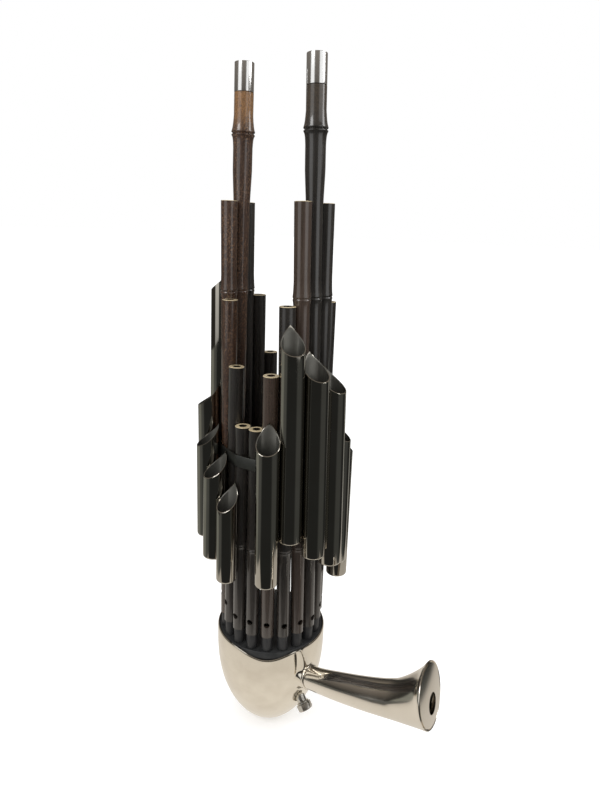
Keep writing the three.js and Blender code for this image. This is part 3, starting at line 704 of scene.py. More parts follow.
def make_tube(number):
    """Makes one resonator tube with its saddles."""
    node = f"resonator_{number:02d}"
    offset, radius, bottom, tip = tube_sizes(number)
    inner = radius - TUBE_WALL
    start = [(0, bottom), (radius, bottom), (radius, bottom + 3 * TUBE_CORNER)]
    chain = [start[0]] + rounded(*start, TUBE_CORNER, steps=6)
    straight = [bottom + (tip - SCOOP_HEIGHT - bottom) * share for share in (0.25, 0.5, 0.75)]
    chain += [(radius, height) for height in straight]
    lip = tip - TUBE_LIP
    chain += [(radius, lip), (radius - TUBE_LIP, tip), (inner + TUBE_LIP, tip), (inner, lip)]
    chain += [(inner, height) for height in reversed(straight)]
    end = [(inner, bottom + 3 * TUBE_CORNER), (inner, bottom + TUBE_WALL), (0, bottom + TUBE_WALL)]
    chain += rounded(*end, TUBE_CORNER - TUBE_WALL, steps=4) + [end[-1]]
    piece = turned(node + "_tube", chain, tube_nickel, sides=56)
    grow(piece, SCOOP, tube_nickel, Scoop=SCOOP_HEIGHT, From=tip - 2 * TUBE_LIP, Radius=radius)
    blocks = []
    for saddle in range(SADDLE_COUNT):
        low = bottom + SADDLE.low + saddle * SADDLE.pitch
        high = low + SADDLE.height
        face = max(radius_at(outlines[number], h) for h in (low, (low + high) / 2, high))
        blocks.append(box_object(
            "saddle", (face + SADDLE.clearance - offset, -SADDLE.width / 2, low),
            (TUBE_WALL / 2 - radius, SADDLE.width / 2, high), SADDLE.edge, tube_nickel,
        ))
    combine(piece, blocks, "UNION")
    crease_by_angle(piece)

    def is_inside(face):
        level = Vector((face.center.x, face.center.y, 0))
        within = level.length < radius - TUBE_WALL / 2 and face.center.z > bottom + MM
        return within and face.normal.dot(level) < 0

    # The inside faces take the darker metal: painted shade inside the tube.
    finish_faces(piece, tube_inside_painted_shade, is_inside)
    place = pipe_frames[number] @ Matrix.Translation((offset, 0, 0))
    return hand_over(piece, [node], place=place)


tubes = [make_tube(number) for number in TUBES]
print("tubes:", len(tubes), "with", sum(len(t.data.polygons) for t in tubes), "faces")

# %% [markdown]
# ## End sleeves and reed feet
# The two tallest pipes end in silver sleeves. Each pipe stands on a black turned foot, whose
# shank goes through the plate and carries the reed inside the bowl.

# %% Sleeves
SLEEVE_LENGTH = 16.5 * MM
SLEEVE_WALL = 0.6 * MM
SLEEVE_EDGE = 0.25 * MM


def make_sleeve(number):
    """Makes one end sleeve, rounded at both edges."""
    node = f"end_sleeve_{number:02d}"
    points = corners_in(node, pipe_frames[number])
    top = max(point.z for point in points)
    outer = max(math.hypot(point.x, point.y) for point in points)
    piece = ring(node + "_silver", outer - SLEEVE_WALL, outer, top - SLEEVE_LENGTH, top,
                 SLEEVE_EDGE, silver, sides=64)
    return hand_over(piece, [node], place=pipe_frames[number])


sleeves = [make_sleeve(number) for number in SLEEVES]

# %% Feet
PLATE_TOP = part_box("top_plate")[1].z
FOOT = in_mm(body=3.75, shank=3.25, end=2.9, depth=28, tenon=2.3, lift=0.3, edge=0.45)
REED = in_mm(length=14, width=3.2, seat=2.0, margin=3, thickness=0.5, edge=0.08)
brass = metal("reed_brass", (0.80, 0.58, 0.26), (0.70, 0.50, 0.22), 0.22)


def make_foot(number):
    """Makes one reed foot: tenon, body and shank, with the brass reed on its inner flat."""
    node = f"reed_foot_{number:02d}"
    seat = pipe_frames[number].translation
    body_top = seat.z - PLATE_TOP - FOOT.lift
    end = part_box(node)[1].z - PLATE_TOP
    chain = soften([
        (0, -FOOT.depth), (FOOT.end, -FOOT.depth), (FOOT.shank, FOOT.lift / 2),
        (FOOT.shank, FOOT.lift), (FOOT.body, FOOT.lift), (FOOT.body, body_top),
        (FOOT.tenon, body_top), (FOOT.tenon, end), (0, end),
    ], FOOT.edge)
    piece = turned(node + "_wood", chain, foot_black, sides=40)
    bottom = REED.margin - FOOT.depth
    flat = box_object("flat", (-2 * FOOT.shank, -2 * FOOT.shank, bottom),
                      (-REED.seat, 2 * FOOT.shank, bottom + REED.length), 0.01 * MM, foot_black)
    combine(piece, [flat], "DIFFERENCE")
    reed = box_object("reed", (-REED.seat - REED.thickness, -REED.width / 2, bottom),
                      (-REED.seat + REED.thickness, REED.width / 2, bottom + REED.length),
                      REED.edge, brass)
    combine(piece, [reed], "UNION")
    crease_by_angle(piece)
    turn = Matrix.Rotation(math.atan2(seat.y, seat.x), 4, "Z")
    place = Matrix.Translation((seat.x, seat.y, PLATE_TOP)) @ turn
    return hand_over(piece, [node], place=place)


feet = [make_foot(number) for number in PIPES]
print("sleeves:", len(sleeves), "feet:", len(feet))

# %% [markdown]
# ## The hoop
# One thin band is drawn tight round the pipes. At its height each pipe gives a circle, and the
# band is the tight loop round all the circles. A second tree sweeps the band's section along it.

# %% Hoop
HOOP_GAP = 0.33 * MM
HOOP_THICKNESS = 0.7 * MM
HOOP_EDGE = 0.22 * MM
HOOP_STEP = 2 * MM
ARC_STEPS = 72


def even_loop(points, step):
    """Walks a closed loop and puts points along its long straight stretches."""
    walked = []
    for start, end in zip(points, points[1:] + points[:1]):
        count = max(1, int(math.dist(start, end) / step))
        for i in range(count):
            walked.append([a + (b - a) * i / count for a, b in zip(start, end)])
    return walked


def band_tree():
    """Makes the tree that sweeps a rounded flat section along a closed loop."""
    tree, given = open_tree("sweep_a_band", Height="Float", Thickness="Float", Edge="Float")
    path = result(tree, "GeometryNodeMeshToCurve", {"Mesh": given["Geometry"]})
    inputs = {"Width": given["Thickness"], "Height": given["Height"]}
    section = result(tree, "GeometryNodeCurvePrimitiveQuadrilateral", inputs, mode="RECTANGLE")
    inputs = {"Curve": section, "Radius": given["Edge"], "Count": 3}
    filleted = result(tree, "GeometryNodeFilletCurve", inputs, mode="POLY")
    swept = result(tree, "GeometryNodeCurveToMesh", {"Curve": path, "Profile Curve": filleted})
    close_tree(tree, given, swept)
    return tree


def make_hoop():
    """Makes the hoop from the pipes' places at its height."""
    low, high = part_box("hoop")
    height = (low.z + high.z) / 2
    circles = []
    for number in PIPES:
        matrix = pipe_frames[number]
        along = matrix.col[2].xyz
        local = (height - matrix.translation.z) / along.z
        centre = matrix.translation + along * local
        reach = radius_at(outlines[number], local) + HOOP_GAP + HOOP_THICKNESS / 2
        for step in range(ARC_STEPS):
            angle = 2 * math.pi * step / ARC_STEPS
            circles.append((centre.x + reach * math.cos(angle), centre.y + reach * math.sin(angle)))
    loop = even_loop([circles[i] for i in convex_hull_2d(circles)], HOOP_STEP)
    edges = [(i, (i + 1) % len(loop)) for i in range(len(loop))]
    piece = mesh_object("hoop_band", [(x, y, height) for x, y in loop], edges=edges)
    grow(piece, band_tree(), hoop_steel, Height=high.z - low.z, Thickness=HOOP_THICKNESS, Edge=HOOP_EDGE)
    return hand_over(piece, ["hoop"])


hoop = make_hoop()
print("hoop box in mm:", [round(v / MM, 1) for v in (*hoop.bound_box[0], *hoop.bound_box[6])])

# %% [markdown]
# ## The wind bowl
# The bowl was turned and then drawn out on one side into a neck, with a fin that climbs from the
# neck to the rim. Its skin is a grid round the axis whose radius is a rule of angle and height:
# the bowl's own curve, or where it stands further out, the fin or the neck, softly joined.

# %% Sizes of the bowl
RIM_HEIGHT = 71.8 * MM
EQUATOR = 66.6 * MM
BOWL_RADIUS = 40.0 * MM
RIM_DRAW = 0.25 * MM
REST_RADIUS = 15.0 * MM
POWER_HEIGHT = 2.22
POWER_RADIUS = 1.79
BOWL_WALL = 1.0 * MM
BOWL_REACH = EQUATOR / (1 - (REST_RADIUS / BOWL_RADIUS) ** POWER_RADIUS) ** (1 / POWER_HEIGHT)
FIN_TOP_ANGLE = math.radians(-20)
DIP_ANGLE = math.radians(-57)
DIP_HALF = math.radians(38)
NECK_ANGLE = math.radians(-11)
NECK = in_mm(radius=8.0, end=-2.2, bore=6.3, blend=2.4, bore_start=-14)
NECK_SLOPE = 2.2
NECK_REACH = math.radians(40)
neck_matrix = (
    Matrix.Translation(Vector((44.364, -8.623, 53.4)) * MM)
    @ Matrix.Rotation(math.radians(-7), 4, "Z")
    @ Matrix.Rotation(math.radians(-13.6), 4, "Y")
)
NECK_PLACE = neck_matrix.translation
NECK_AXIS = neck_matrix.col[0].xyz
FIN_ROWS = [
    (53.4, 8.0, 4.9), (55.5, 7.6, 4.4), (59.5, 6.5, 3.5), (62.0, 5.8, 3.1), (65.2, 4.9, 2.6),
    (70.0, 3.8, 1.9), (73.7, 3.1, 1.3), (77.0, 2.6, 0.7),
]
FIN_SHARPNESS = 1.35
FIN_BLEND = 0.8 * MM
RIM_DRAW_POWER = 12
COLLAR_SEAT = in_mm(radius=9.0, start=-2.5, end=12)


def soft_max(a, b, blend):
    """Gives the larger of two values, rounded where they meet."""
    share = max(blend - abs(a - b), 0.0) / blend
    return max(a, b) + share * share * blend / 4


def rim_lift(angle):
    """Says how far the rim stands up at an angle, from 0 at the bottom of its dip to 1."""
    swing = abs((angle - DIP_ANGLE + math.pi) % (2 * math.pi) - math.pi)
    return math.sin(math.pi / 2 * min(1.0, swing / DIP_HALF)) ** 2


def rim_top(angle):
    """Gives the height of the rim at an angle."""
    return RIM_HEIGHT + (PLATE_TOP - RIM_HEIGHT) * rim_lift(angle)


def plain_radius(height, angle, wall=0.0):
    """Gives the radius of the turned bowl at a height."""
    if height <= EQUATOR:
        depth = (EQUATOR - height) / (BOWL_REACH - wall)
        return (BOWL_RADIUS - wall) * max(0.0, 1 - depth ** POWER_HEIGHT) ** (1 / POWER_RADIUS)
    rise = min(1.0, (height - EQUATOR) / (rim_top(angle) - EQUATOR))
    return BOWL_RADIUS - wall - RIM_DRAW * rise ** RIM_DRAW_POWER


def neck_radius_at(angle, height):
    """Gives how far out the neck stands in a direction, falling away beside it."""
    direction = Vector((math.cos(angle), math.sin(angle), 0))
    level = Vector((0, 0, height))
    reach = ((NECK_PLACE - level).dot(NECK_AXIS) + NECK.end) / direction.dot(NECK_AXIS)
    spot = level + direction * reach - NECK_PLACE
    beside = (spot - NECK_AXIS * spot.dot(NECK_AXIS)).length - NECK.radius
    return reach - max(0.0, beside) * NECK_SLOPE


def fin_radius_at(angle, height):
    """Gives how far out the fin stands at an angle and height."""
    widths = [[h * MM, w] for h, w, _ in FIN_ROWS]
    reaches = [[h * MM, r] for h, _, r in FIN_ROWS]
    if height < widths[0][0]:
        return 0.0
    rise = (height - widths[0][0]) / (widths[-1][0] - widths[0][0])
    centre = NECK_ANGLE + (FIN_TOP_ANGLE - NECK_ANGLE) * rise
    aside = abs(angle - centre) * BOWL_RADIUS / (radius_at(widths, height) * MM)
    return BOWL_RADIUS + radius_at(reaches, height) * MM * (1 - aside ** FIN_SHARPNESS)


def bowl_radius_at(angle, height):
    """Gives the radius of the whole outside of the bowl."""
    plain = plain_radius(height, angle)
    if abs(angle - NECK_ANGLE) > NECK_REACH:
        return plain
    with_fin = soft_max(plain, fin_radius_at(angle, height), FIN_BLEND)
    return soft_max(with_fin, neck_radius_at(angle, height), NECK.blend)


# %% The bowl's skin
NEAR = {"step": math.radians(0.5), "count": 60}
FAR_COUNT = 96
ROWS = {"base": 24, "belly": 60, "rim": 14, "inside": 30}
BASE_END = 38 * MM
BOWL_LIP = 0.3 * MM


def bowl_angles():
    """Spaces the angles of the grid: fine near the neck, coarser round the back."""
    near = [NECK_ANGLE + step * NEAR["step"] for step in range(-NEAR["count"], NEAR["count"] + 1)]
    start, end = near[-1], near[0] + 2 * math.pi
    return near + [start + (end - start) * step / FAR_COUNT for step in range(1, FAR_COUNT)]


def bowl_rows(angle):
    """Gives the outside points of one meridian from the rest's edge to the rim."""
    steep = math.acos((REST_RADIUS / BOWL_RADIUS) ** (POWER_RADIUS / 2))
    leans = [steep * (1 - step / ROWS["base"]) for step in range(ROWS["base"] + 1)]
    heights = [EQUATOR - BOWL_REACH * math.sin(lean) ** (2 / POWER_HEIGHT) for lean in leans]
    heights = [max(0.0, height) for height in heights if height < BASE_END]
    for low, high, count in ((BASE_END, EQUATOR, ROWS["belly"]), (EQUATOR, rim_top(angle), ROWS["rim"])):
        heights += [low + (high - low) * step / count for step in range(count)]
    return [(bowl_radius_at(angle, height), height) for height in heights + [rim_top(angle)]]


def inner_rows(angle, top):
    """Gives the inside points of one meridian from the rim down to the floor."""
    turns = [math.pi / 2 * step / ROWS["inside"] for step in range(ROWS["inside"] + 1)]
    heights = [top - (top - BOWL_WALL) * math.sin(turn) for turn in turns]
    return [(plain_radius(height, angle, BOWL_WALL), max(BOWL_WALL, height)) for height in heights]


def bowl_skin():
    """Makes the closed skin of the bowl as a grid of quads with two fans."""
    angles = bowl_angles()
    points, faces = [], []
    for angle in angles:
        outer = bowl_rows(angle)
        radius, top = outer[-1]
        outer[-1] = (radius, top - BOWL_LIP)
        edge = [(radius - BOWL_LIP / 2, top - BOWL_LIP / 4), (radius - BOWL_WALL / 2, top)]
        row = outer + edge + inner_rows(angle, top - BOWL_LIP)
        points += [(r * math.cos(angle), r * math.sin(angle), h) for r, h in row]
    height_count = len(points) // len(angles)
    starts = range(0, len(points), height_count)
    pairs = list(zip(starts, [*starts[1:], 0]))
    for here, beside in pairs:
        steps = range(height_count - 1)
        faces += [(here + k, beside + k, beside + k + 1, here + k + 1) for k in steps]
    floor, inside = len(points), len(points) + 1
    points += [(0, 0, 0), (0, 0, BOWL_WALL)]
    for here, beside in pairs:
        faces.append((floor, beside, here))
        faces.append((inside, here + height_count - 1, beside + height_count - 1))
    return points, faces


# %% Boss, bores and the finished bowl
PLUG = in_mm(boss=3.5, length=2.9, thread=2.2, bore=2.5, root=6.8, boss_root=-4, boss_edge=0.35)
plug_matrix = (
    Matrix.Translation(Vector((33.727, -5.101, 27.9)) * MM)
    @ Matrix.Rotation(math.radians(-8.6), 4, "Z")
    @ Matrix.Rotation(math.radians(48), 4, "Y")
)
ALONG_X = Matrix.Rotation(math.pi / 2, 4, "Y")
OVERRUN = 2 * MM
BOSS_MARGIN = 0.05 * MM


def make_bowl():
    """Makes the wind bowl with its neck, fin, climbing rim and drain boss."""
    points, faces = bowl_skin()
    piece = mesh_object("wind_bowl", points, faces=faces)
    piece.data.materials.append(nickel)
    corners = [(0, PLUG.boss_root), (PLUG.boss, PLUG.boss_root), (PLUG.boss, PLUG.length),
               (0, PLUG.length)]
    boss = turned("boss", soften(corners, PLUG.boss_edge), nickel, sides=48)
    boss.data.transform(plug_matrix @ ALONG_X)
    combine(piece, [boss], "UNION")
    at_neck, at_plug = neck_matrix @ ALONG_X, plug_matrix @ ALONG_X
    bores = [
        rod("collar_seat", COLLAR_SEAT.radius, COLLAR_SEAT.start, COLLAR_SEAT.end, nickel, at_neck),
        rod("neck_bore", NECK.bore, NECK.bore_start, OVERRUN, nickel, at_neck),
        rod("boss_bore", PLUG.bore, -PLUG.root - OVERRUN, PLUG.length + OVERRUN, nickel, at_plug, 48),
    ]
    combine(piece, bores, "DIFFERENCE")
    crease_by_angle(piece, BOWL_CREASE)
    back = plug_matrix.inverted()

    def is_boss(face):
        spot = back @ face.center
        return spot.x > -PLUG.root and spot.yz.length < PLUG.boss + BOSS_MARGIN

    finish_faces(piece, plug_nickel, is_boss)
    return hand_over(piece, ["bowl"])


bowl = make_bowl()
print("bowl faces:", len(bowl.data.polygons))

# %% [markdown]
# ## The top plate
# A black plate closes the bowl and carries the feet. It is turned and then bored seventeen times.

# %% Plate
FLANGE = in_mm(thickness=4.9, radius=38.8, taper=0.5, spigot=37.5, depth=4, edge=0.5)
BORE = in_mm(clearance=0.3, start=-12, end=3)


def make_plate():
    """Makes the top plate with its bores."""
    bottom = PLATE_TOP - FLANGE.thickness
    floor = bottom - FLANGE.depth
    chain = soften([
        (0, floor), (FLANGE.spigot, floor), (FLANGE.spigot, bottom), (FLANGE.radius, bottom),
        (FLANGE.radius - FLANGE.taper, PLATE_TOP), (0, PLATE_TOP),
    ], FLANGE.edge)
    piece = turned("top_plate_disc", chain, plate_black, sides=160)
    drills = []
    for number in PIPES:
        seat = pipe_frames[number].translation
        place = Matrix.Translation((seat.x, seat.y, PLATE_TOP))
        radius = FOOT.shank + BORE.clearance
        drills.append(rod("drill", radius, BORE.start, BORE.end, plate_black, place, 32))
    combine(piece, drills, "DIFFERENCE")
    crease_by_angle(piece)
    return hand_over(piece, ["top_plate"])


plate = make_plate()
print("plate faces:", len(plate.data.polygons))

# %% [markdown]
# ## The mouthpiece
# The mouthpiece is a flared tube. Its underside stays straight while the bore opens, so each
# ring is lifted by as much as it grows, and the whole tube turns aside along a gentle arc.

# %% Sizes and the bend
MOUTH = in_mm(length=93.5, wall=0.8, tenon=6.0, tenon_length=5.0, radius=20.3, bead=0.7, recess=1.1,
              ledge=1.1, edge=0.3, bulge=0.15)
MOUTH_TURN = math.radians(14)
FLARE_STEPS = 60
BEAD_STEPS = 6
FLARE_SHARES = [
    (0.0, 0.0), (0.105, 0.035), (0.275, 0.115), (0.445, 0.187), (0.615, 0.268), (0.7, 0.325),
    (0.765, 0.39), (0.84, 0.53), (0.915, 0.71), (0.965, 0.86), (0.99, 0.965), (1.0, 1.0),
]


def smooth_curve(points, along):
    """Reads a smooth curve through points, with slopes from their neighbours."""
    last = len(points) - 1
    i = max(k for k in range(last) if points[k][0] <= along or k == 0)
    (x0, y0), (x1, y1) = points[i], points[i + 1]

    def slope(k):
        before, after = points[max(0, k - 1)], points[min(last, k + 1)]
        return (after[1] - before[1]) / (after[0] - before[0])

    width = x1 - x0
    t = (along - x0) / width
    start = (2 * t ** 3 - 3 * t ** 2 + 1) * y0 + (t ** 3 - 2 * t ** 2 + t) * width * slope(i)
    return start + (3 * t ** 2 - 2 * t ** 3) * y1 + (t ** 3 - t ** 2) * width * slope(i + 1)


def mouth_radius(distance):
    """Gives the mouthpiece's outer radius at a distance along it."""
    share = min(1.0, max(0.0, distance / MOUTH.length))
    return NECK.radius + (MOUTH.radius - NECK.radius) * smooth_curve(FLARE_SHARES, share)


def bending_tree():
    """Makes the tree that bends a body along Z to a level arc and stands it along X."""
    tree, given = open_tree("bend_aside", Length="Float", Turn="Float")
    spot = split(tree, result(tree, "GeometryNodeInputPosition"))
    bend = sum_of(tree, "DIVIDE", given["Length"], given["Turn"])
    turn = sum_of(tree, "DIVIDE", sum_of(tree, "MAXIMUM", spot["Z"], 0.0), bend)
    straight = sum_of(tree, "MINIMUM", spot["Z"], 0.0)
    inside = sum_of(tree, "SUBTRACT", bend, spot["Y"])
    along = sum_of(tree, "MULTIPLY_ADD", inside, sum_of(tree, "SINE", turn), straight)
    aside = sum_of(tree, "SUBTRACT", bend, product(tree, inside, sum_of(tree, "COSINE", turn)))
    place = result(tree, "ShaderNodeCombineXYZ", {"X": along, "Y": aside, "Z": spot["X"]})
    bent = result(tree, "GeometryNodeSetPosition", {"Geometry": given["Geometry"], "Position": place})
    close_tree(tree, given, result(tree, "GeometryNodeFlipFaces", {"Mesh": bent}))
    return tree


BEND = bending_tree()


def bend_to_neck(piece, node):
    """Bends a turned body and hands it over at the neck."""
    grow(piece, BEND, mouth_nickel, Length=MOUTH.length, Turn=MOUTH_TURN)
    return hand_over(piece, [node], "mouthpiece_part", neck_matrix)


# %% Mouthpiece and its plate
def make_mouthpiece():
    """Makes the mouthpiece: tenon, flared wall, rolled bead and the recess for the plate."""
    length, wall, bead, edge = MOUTH.length, MOUTH.wall, MOUTH.bead, MOUTH.edge
    flare = [length * step / FLARE_STEPS for step in range(1, FLARE_STEPS + 1)]
    tenon, radius, wide = MOUTH.tenon, NECK.radius, MOUTH.radius
    chain = [(tenon, 0.0, -MOUTH.tenon_length), (tenon, 0.0, 0.0), (radius - edge, 0.0, 0.0),
             (radius, 0.0, edge)]
    for distance in flare:
        outer = mouth_radius(distance)
        chain.append((outer, outer - radius, distance))
    lift = wide - radius
    for step in range(1, BEAD_STEPS + 1):
        turn = math.pi * step / BEAD_STEPS
        out = wide - bead / 2 + bead / 2 * math.cos(turn) + MOUTH.bulge * math.sin(turn)
        chain.append((out, lift, length + bead * math.sin(turn)))
    recess = wide - wall - bead / 2
    floor = length + bead - MOUTH.recess
    chain += [(recess, lift, floor), (recess - MOUTH.ledge, lift, floor)]
    for distance in reversed([0.0] + flare):
        outer = mouth_radius(distance)
        if outer - wall < recess - MOUTH.ledge and distance < floor:
            chain.append((outer - wall, outer - radius, distance))
    chain += [(tenon - wall, 0.0, 0.0), (tenon - wall, 0.0, -MOUTH.tenon_length), chain[0]]
    piece = turned("mouthpiece_horn", chain, mouth_nickel, sides=96)
    return bend_to_neck(piece, "mouthpiece")


BLOW_HOLE = in_mm(radius=6.6, drop=5.4, behind=3, before=5)
MOUTH_PLATE = in_mm(dome=0.9, thickness=0.8, gap=0.3)
DOME_STEPS = 10
COLLAR = in_mm(low=-1.9, high=-0.3, gap=0.3, outer=8.7, edge=0.5)


def make_mouth_plate():
    """Makes the domed plate over the wide end, with its blow hole."""
    back = MOUTH.length + MOUTH.bead - MOUTH.recess + MOUTH_PLATE.gap
    radius = MOUTH.radius - MOUTH.wall - MOUTH.bead / 2 - MOUTH_PLATE.gap
    lift = MOUTH.radius - NECK.radius
    shares = [step / DOME_STEPS for step in range(DOME_STEPS + 1)]
    under = [(radius * share, lift, back + MOUTH_PLATE.dome * (1 - share ** 2)) for share in shares]
    over = [(r, a, h + MOUTH_PLATE.thickness) for r, a, h in reversed(under)]
    piece = turned("mouth_plate_disc", under + over, mouth_nickel, sides=96)
    place = Matrix.Translation((lift - BLOW_HOLE.drop, 0, 0))
    start, end = back - BLOW_HOLE.behind, back + BLOW_HOLE.before
    drill = rod("drill", BLOW_HOLE.radius, start, end, mouth_nickel, place)
    combine(piece, [drill], "DIFFERENCE")
    return bend_to_neck(piece, "mouth_plate")


def make_collar():
    """Makes the ring where the mouthpiece joins the neck."""
    piece = ring("mouthpiece_collar_ring", MOUTH.tenon + COLLAR.gap, COLLAR.outer, COLLAR.low, COLLAR.high,
                 COLLAR.edge, mouth_nickel, sides=96)
    return hand_over(piece, ["mouthpiece_collar"], place=neck_matrix @ ALONG_X)


mouthpiece = make_mouthpiece()
mouth_plate = make_mouth_plate()
collar = make_collar()
print("mouthpiece faces:", len(mouthpiece.data.polygons), "plate faces:", len(mouth_plate.data.polygons))

# %% [markdown]
# ## The drain plug
# A short hex-headed screw closes the drain. The head is a hexagon whose corners are turned off,
# and it sits on a thin washer.

# %% Plug and washer
HEAD = in_mm(start=4.3, length=5.0, radius=5.5, turned=5.0, edge=0.22)
THREAD = in_mm(pitch=0.8, depth=0.3, gap=0.2)
WASHER = in_mm(inner=2.5, outer=4.5, low=3.2, high=4.0, edge=0.2)


def make_plug():
    """Makes the screw: a thread and a hexagonal head with its corners turned off."""
    start, end, wide, top = HEAD.start, HEAD.start + HEAD.length, HEAD.radius + MM, HEAD.turned
    head = rod("drain_plug_screw", HEAD.radius, start, end, plug_nickel, sides=6)
    crown = turned("crown", [
        (0, start - MM), (top, start - MM), (wide, start + MM), (wide, end - 1.6 * MM),
        (top - 0.4 * MM, end - 0.2 * MM), (top - MM, end), (0, end),
    ], plug_nickel)
    combine(head, [crown], "INTERSECT")
    bevel = head.modifiers.new("edges", "BEVEL")
    bevel.width = HEAD.edge
    bevel.segments = 2
    bevel.limit_method = "ANGLE"
    settle(head)
    tip, core = start - PLUG.root, PLUG.thread - THREAD.depth
    thread = [(0, tip), (core, tip)]
    for turn in range(int((PLUG.root - MM) / THREAD.pitch)):
        base = tip + THREAD.depth + turn * THREAD.pitch
        thread += [(core, base), (PLUG.thread, base + THREAD.pitch / 2)]
    thread += [(core, start - THREAD.gap), (core, start + MM), (0, start + MM)]
    screw = turned("thread", thread, plug_nickel, sides=40)
    combine(head, [screw], "UNION")
    crease_by_angle(head, SCREW_CREASE)
    return hand_over(head, ["drain_plug"], "plug", plug_matrix @ ALONG_X)


def make_washer():
    """Makes the washer under the head."""
    piece = ring("drain_washer_ring", WASHER.inner, WASHER.outer, WASHER.low, WASHER.high,
                 WASHER.edge, plug_nickel, sides=48)
    return hand_over(piece, ["drain_washer"], "washer", plug_matrix @ ALONG_X)


plug = make_plug()
washer = make_washer()
print("plug faces:", len(plug.data.polygons))

# %% [markdown]
# ## The studio
# The photograph shows the instrument on pure white, but its metal shows the room it stood in: a
# white sheet near it and a dark room round that. The floor and the world are white for the
# camera, and a dark tent that only reflections see gives the metal its dark bands.

# %% Floor, tent and world
# What reflections see of the floor is painted light and shade: the shade of a dark room, strips of light,
# and a sheet painted darker further from the instrument.
PAINTED_ROOM_SHADE = (0.024, 0.025, 0.024, 1)
PAINTED_LIGHT_STRIPS = [
    ((0.10, 0.103, 0.098), -84, -52), ((0.24, 0.245, 0.22), -150, -84), ((0.07, 0.073, 0.07), 40, 90),
    ((0.60, 0.59, 0.54), 128, 138),
]
FLOOR_BAND_SOFT = 7
SHEET = {"across": (-0.24, 0.27), "along": (-0.60, 0.155), "soft": 0.012, "colour": (0.80, 0.755, 0.69, 1),
         "far": (0.42, 0.39, 0.35, 1), "fade": (0.06, 0.34)}
FLOOR_HALF = 30.0
# The walls glow for reflections only, with painted light and shade: darker low down, paler above, and two
# bright painted cards.
WALL_GLOW = {"low": (0.030, 0.029, 0.026, 1), "high": (0.230, 0.205, 0.180, 1)}
PAINTED_LIGHT_CARDS = [(-70, -30), (28, 68)]
CARD_SOFT = 4
CARD_TOP = 1.35
TENT = {"radius": 1.5, "height": 1.8}
CARD_FADE = {"heights": (0.0, 0.42), "levels": (0.45, 1.25)}


def plan_of(tree):
    """Gives a spot's place to the camera's right and towards the camera, in metres."""
    spot = put(tree, "ShaderNodeNewGeometry").outputs["Position"]
    inputs = {"Vector": spot, "Angle": -CAMERA_SIDE}
    parts = split(tree, result(tree, "ShaderNodeVectorRotate", inputs, rotation_type="Z_AXIS"))
    return parts["X"], product(tree, parts["Y"], -1.0), parts["Z"]


def band(tree, value, start, end, soft):
    """Gives 1 between two values and 0 outside them, with soft edges."""
    rise = fit(tree, value, start - soft, start + soft, 0.0, 1.0)
    return product(tree, rise, fit(tree, value, end - soft, end + soft, 1.0, 0.0))


def sector(tree, right, near, *degrees):
    """Marks the directions between two angles from the camera's side, rightwards positive."""
    return band(tree, sum_of(tree, "ARCTAN2", right, near), *map(math.radians, degrees))


def floor_material():
    """Makes the floor: white to the camera, and to reflections a glowing sheet, painted darker further
    from the instrument, with painted strips of light and painted shade of a dark room round it.
    """
    material, tree, shader, _ = open_material("white_sheet")
    path = put(tree, "ShaderNodeLightPath").outputs
    seen = sum_of(tree, "MAXIMUM", path["Is Camera Ray"], path["Is Transmission Ray"])
    fill(tree, shader, {
        "Base Color": (0.88, 0.88, 0.88, 1), "Roughness": 0.9, "Specular IOR Level": 0.0,
        "Emission Color": (1, 1, 1, 1), "Emission Strength": product(tree, seen, 0.30),
    })
    right, near, _ = plan_of(tree)
    room = PAINTED_ROOM_SHADE
    for colour, start, end in PAINTED_LIGHT_STRIPS:
        room = mixed(tree, sector(tree, right, near, start, end, FLOOR_BAND_SOFT), room, (*colour, 1))
    across = band(tree, right, *SHEET["across"], SHEET["soft"])
    sheet = product(tree, across, band(tree, near, *SHEET["along"], SHEET["soft"]))
    squares = sum_of(tree, "ADD", product(tree, right, right), product(tree, near, near))
    away = sum_of(tree, "SQRT", squares)
    # The sheet is painted darker further from the instrument: a painted falloff of light.
    paper = mixed(tree, fit(tree, away, *SHEET["fade"], 0.0, 1.0), SHEET["colour"], SHEET["far"])
    glow = result(tree, "ShaderNodeEmission", {"Color": mixed(tree, sheet, room, paper)})
    chosen = result(tree, "ShaderNodeMixShader", {0: path["Is Glossy Ray"], 1: shader.outputs[0], 2: glow})
    fill(tree, tree.nodes["Material Output"], {0: chosen})
    return material


def add_floor():
    """Lays the floor under the rest face."""
    corners = [(x * FLOOR_HALF, y * FLOOR_HALF, 0) for x, y in ((-1, -1), (1, -1), (1, 1), (-1, 1))]
    floor = mesh_object("floor", corners, faces=[(0, 1, 2, 3)])
    floor.data.materials.append(floor_material())
    return floor


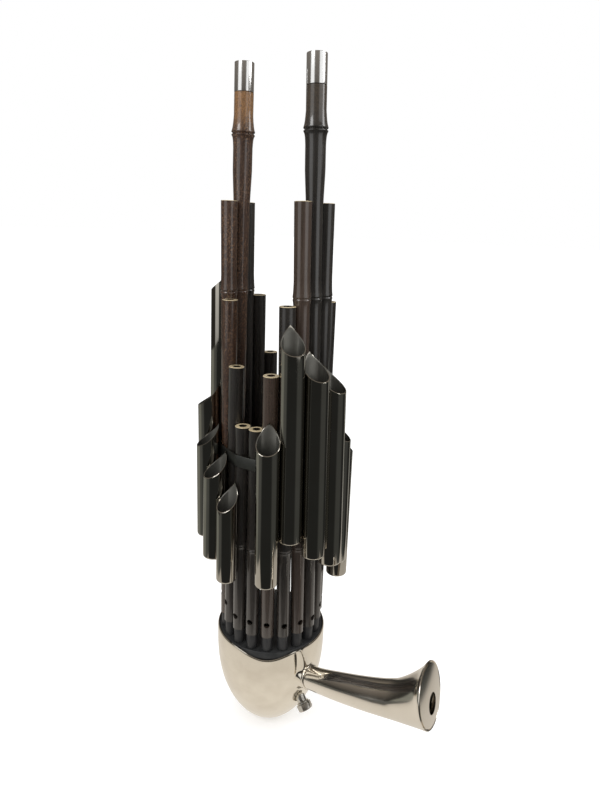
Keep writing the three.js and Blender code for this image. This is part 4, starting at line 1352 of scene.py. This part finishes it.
def wall_material():
    """Makes the glowing dark walls, painted paler above, with two glowing white cards at the height of the
    sleeves, painted dimmer towards the floor.
    """
    material, tree, shader, _ = open_material("dark_room")
    right, near, height = plan_of(tree)
    colour = mixed(tree, fit(tree, height, 0.1, 1.2, 0.0, 1.0), WALL_GLOW["low"], WALL_GLOW["high"])
    rising = fit(tree, height, *CARD_FADE["heights"], *CARD_FADE["levels"])
    level = product(tree, rising, fit(tree, height, CARD_TOP, CARD_TOP + 0.05, 1.0, 0.0))
    for card in PAINTED_LIGHT_CARDS:
        share = product(tree, sector(tree, right, near, *card, CARD_SOFT), level)
        colour = mixed(tree, share, colour, (1, 1, 1, 1))
    glow = result(tree, "ShaderNodeEmission", {"Color": colour})
    fill(tree, tree.nodes["Material Output"], {0: glow})
    tree.nodes.remove(shader)
    return material


def add_tent():
    """Puts dark walls and a ceiling round the stage, for reflections only."""
    radius, height = TENT["radius"], TENT["height"]
    tent = turned("tent", [(radius, -0.01), (radius, height), (0, height)], wall_material(), sides=48)
    for ray in ("camera", "diffuse", "transmission", "shadow", "volume_scatter"):
        setattr(tent, "visible_" + ray, False)
    return tent


floor = add_floor()
tent = add_tent()
world = bpy.data.worlds.new("white_world")
bpy.context.scene.world = world
world.use_nodes = True
fill(world.node_tree, world.node_tree.nodes["Background"], {"Color": (1, 1, 1, 1), "Strength": 1.0})


# %% Lamps
def add_lamp(name, place, size, energy, target=(0, 0, 0.2)):
    """Hangs one soft square lamp that looks at the object."""
    light = bpy.data.lights.new(name, "AREA")
    light.shape = "RECTANGLE"
    light.size, light.size_y = size
    light.energy = energy
    lamp = bpy.data.objects.new(name, light)
    bpy.context.scene.collection.objects.link(lamp)
    lamp.location = place
    lamp.rotation_euler = (Vector(target) - Vector(place)).to_track_quat("-Z", "Y").to_euler()
    return lamp


lamps = [
    add_lamp("key_lamp", (-0.2, -1.0, 1.1), (0.5, 0.5), 4.0),
    add_lamp("side_lamp", (0.9, 0.5, 0.9), (0.4, 0.6), 3.0),
]
print("lamps:", [lamp.name for lamp in lamps])

# %% Colour management
bpy.context.scene.view_settings.view_transform = "Standard"
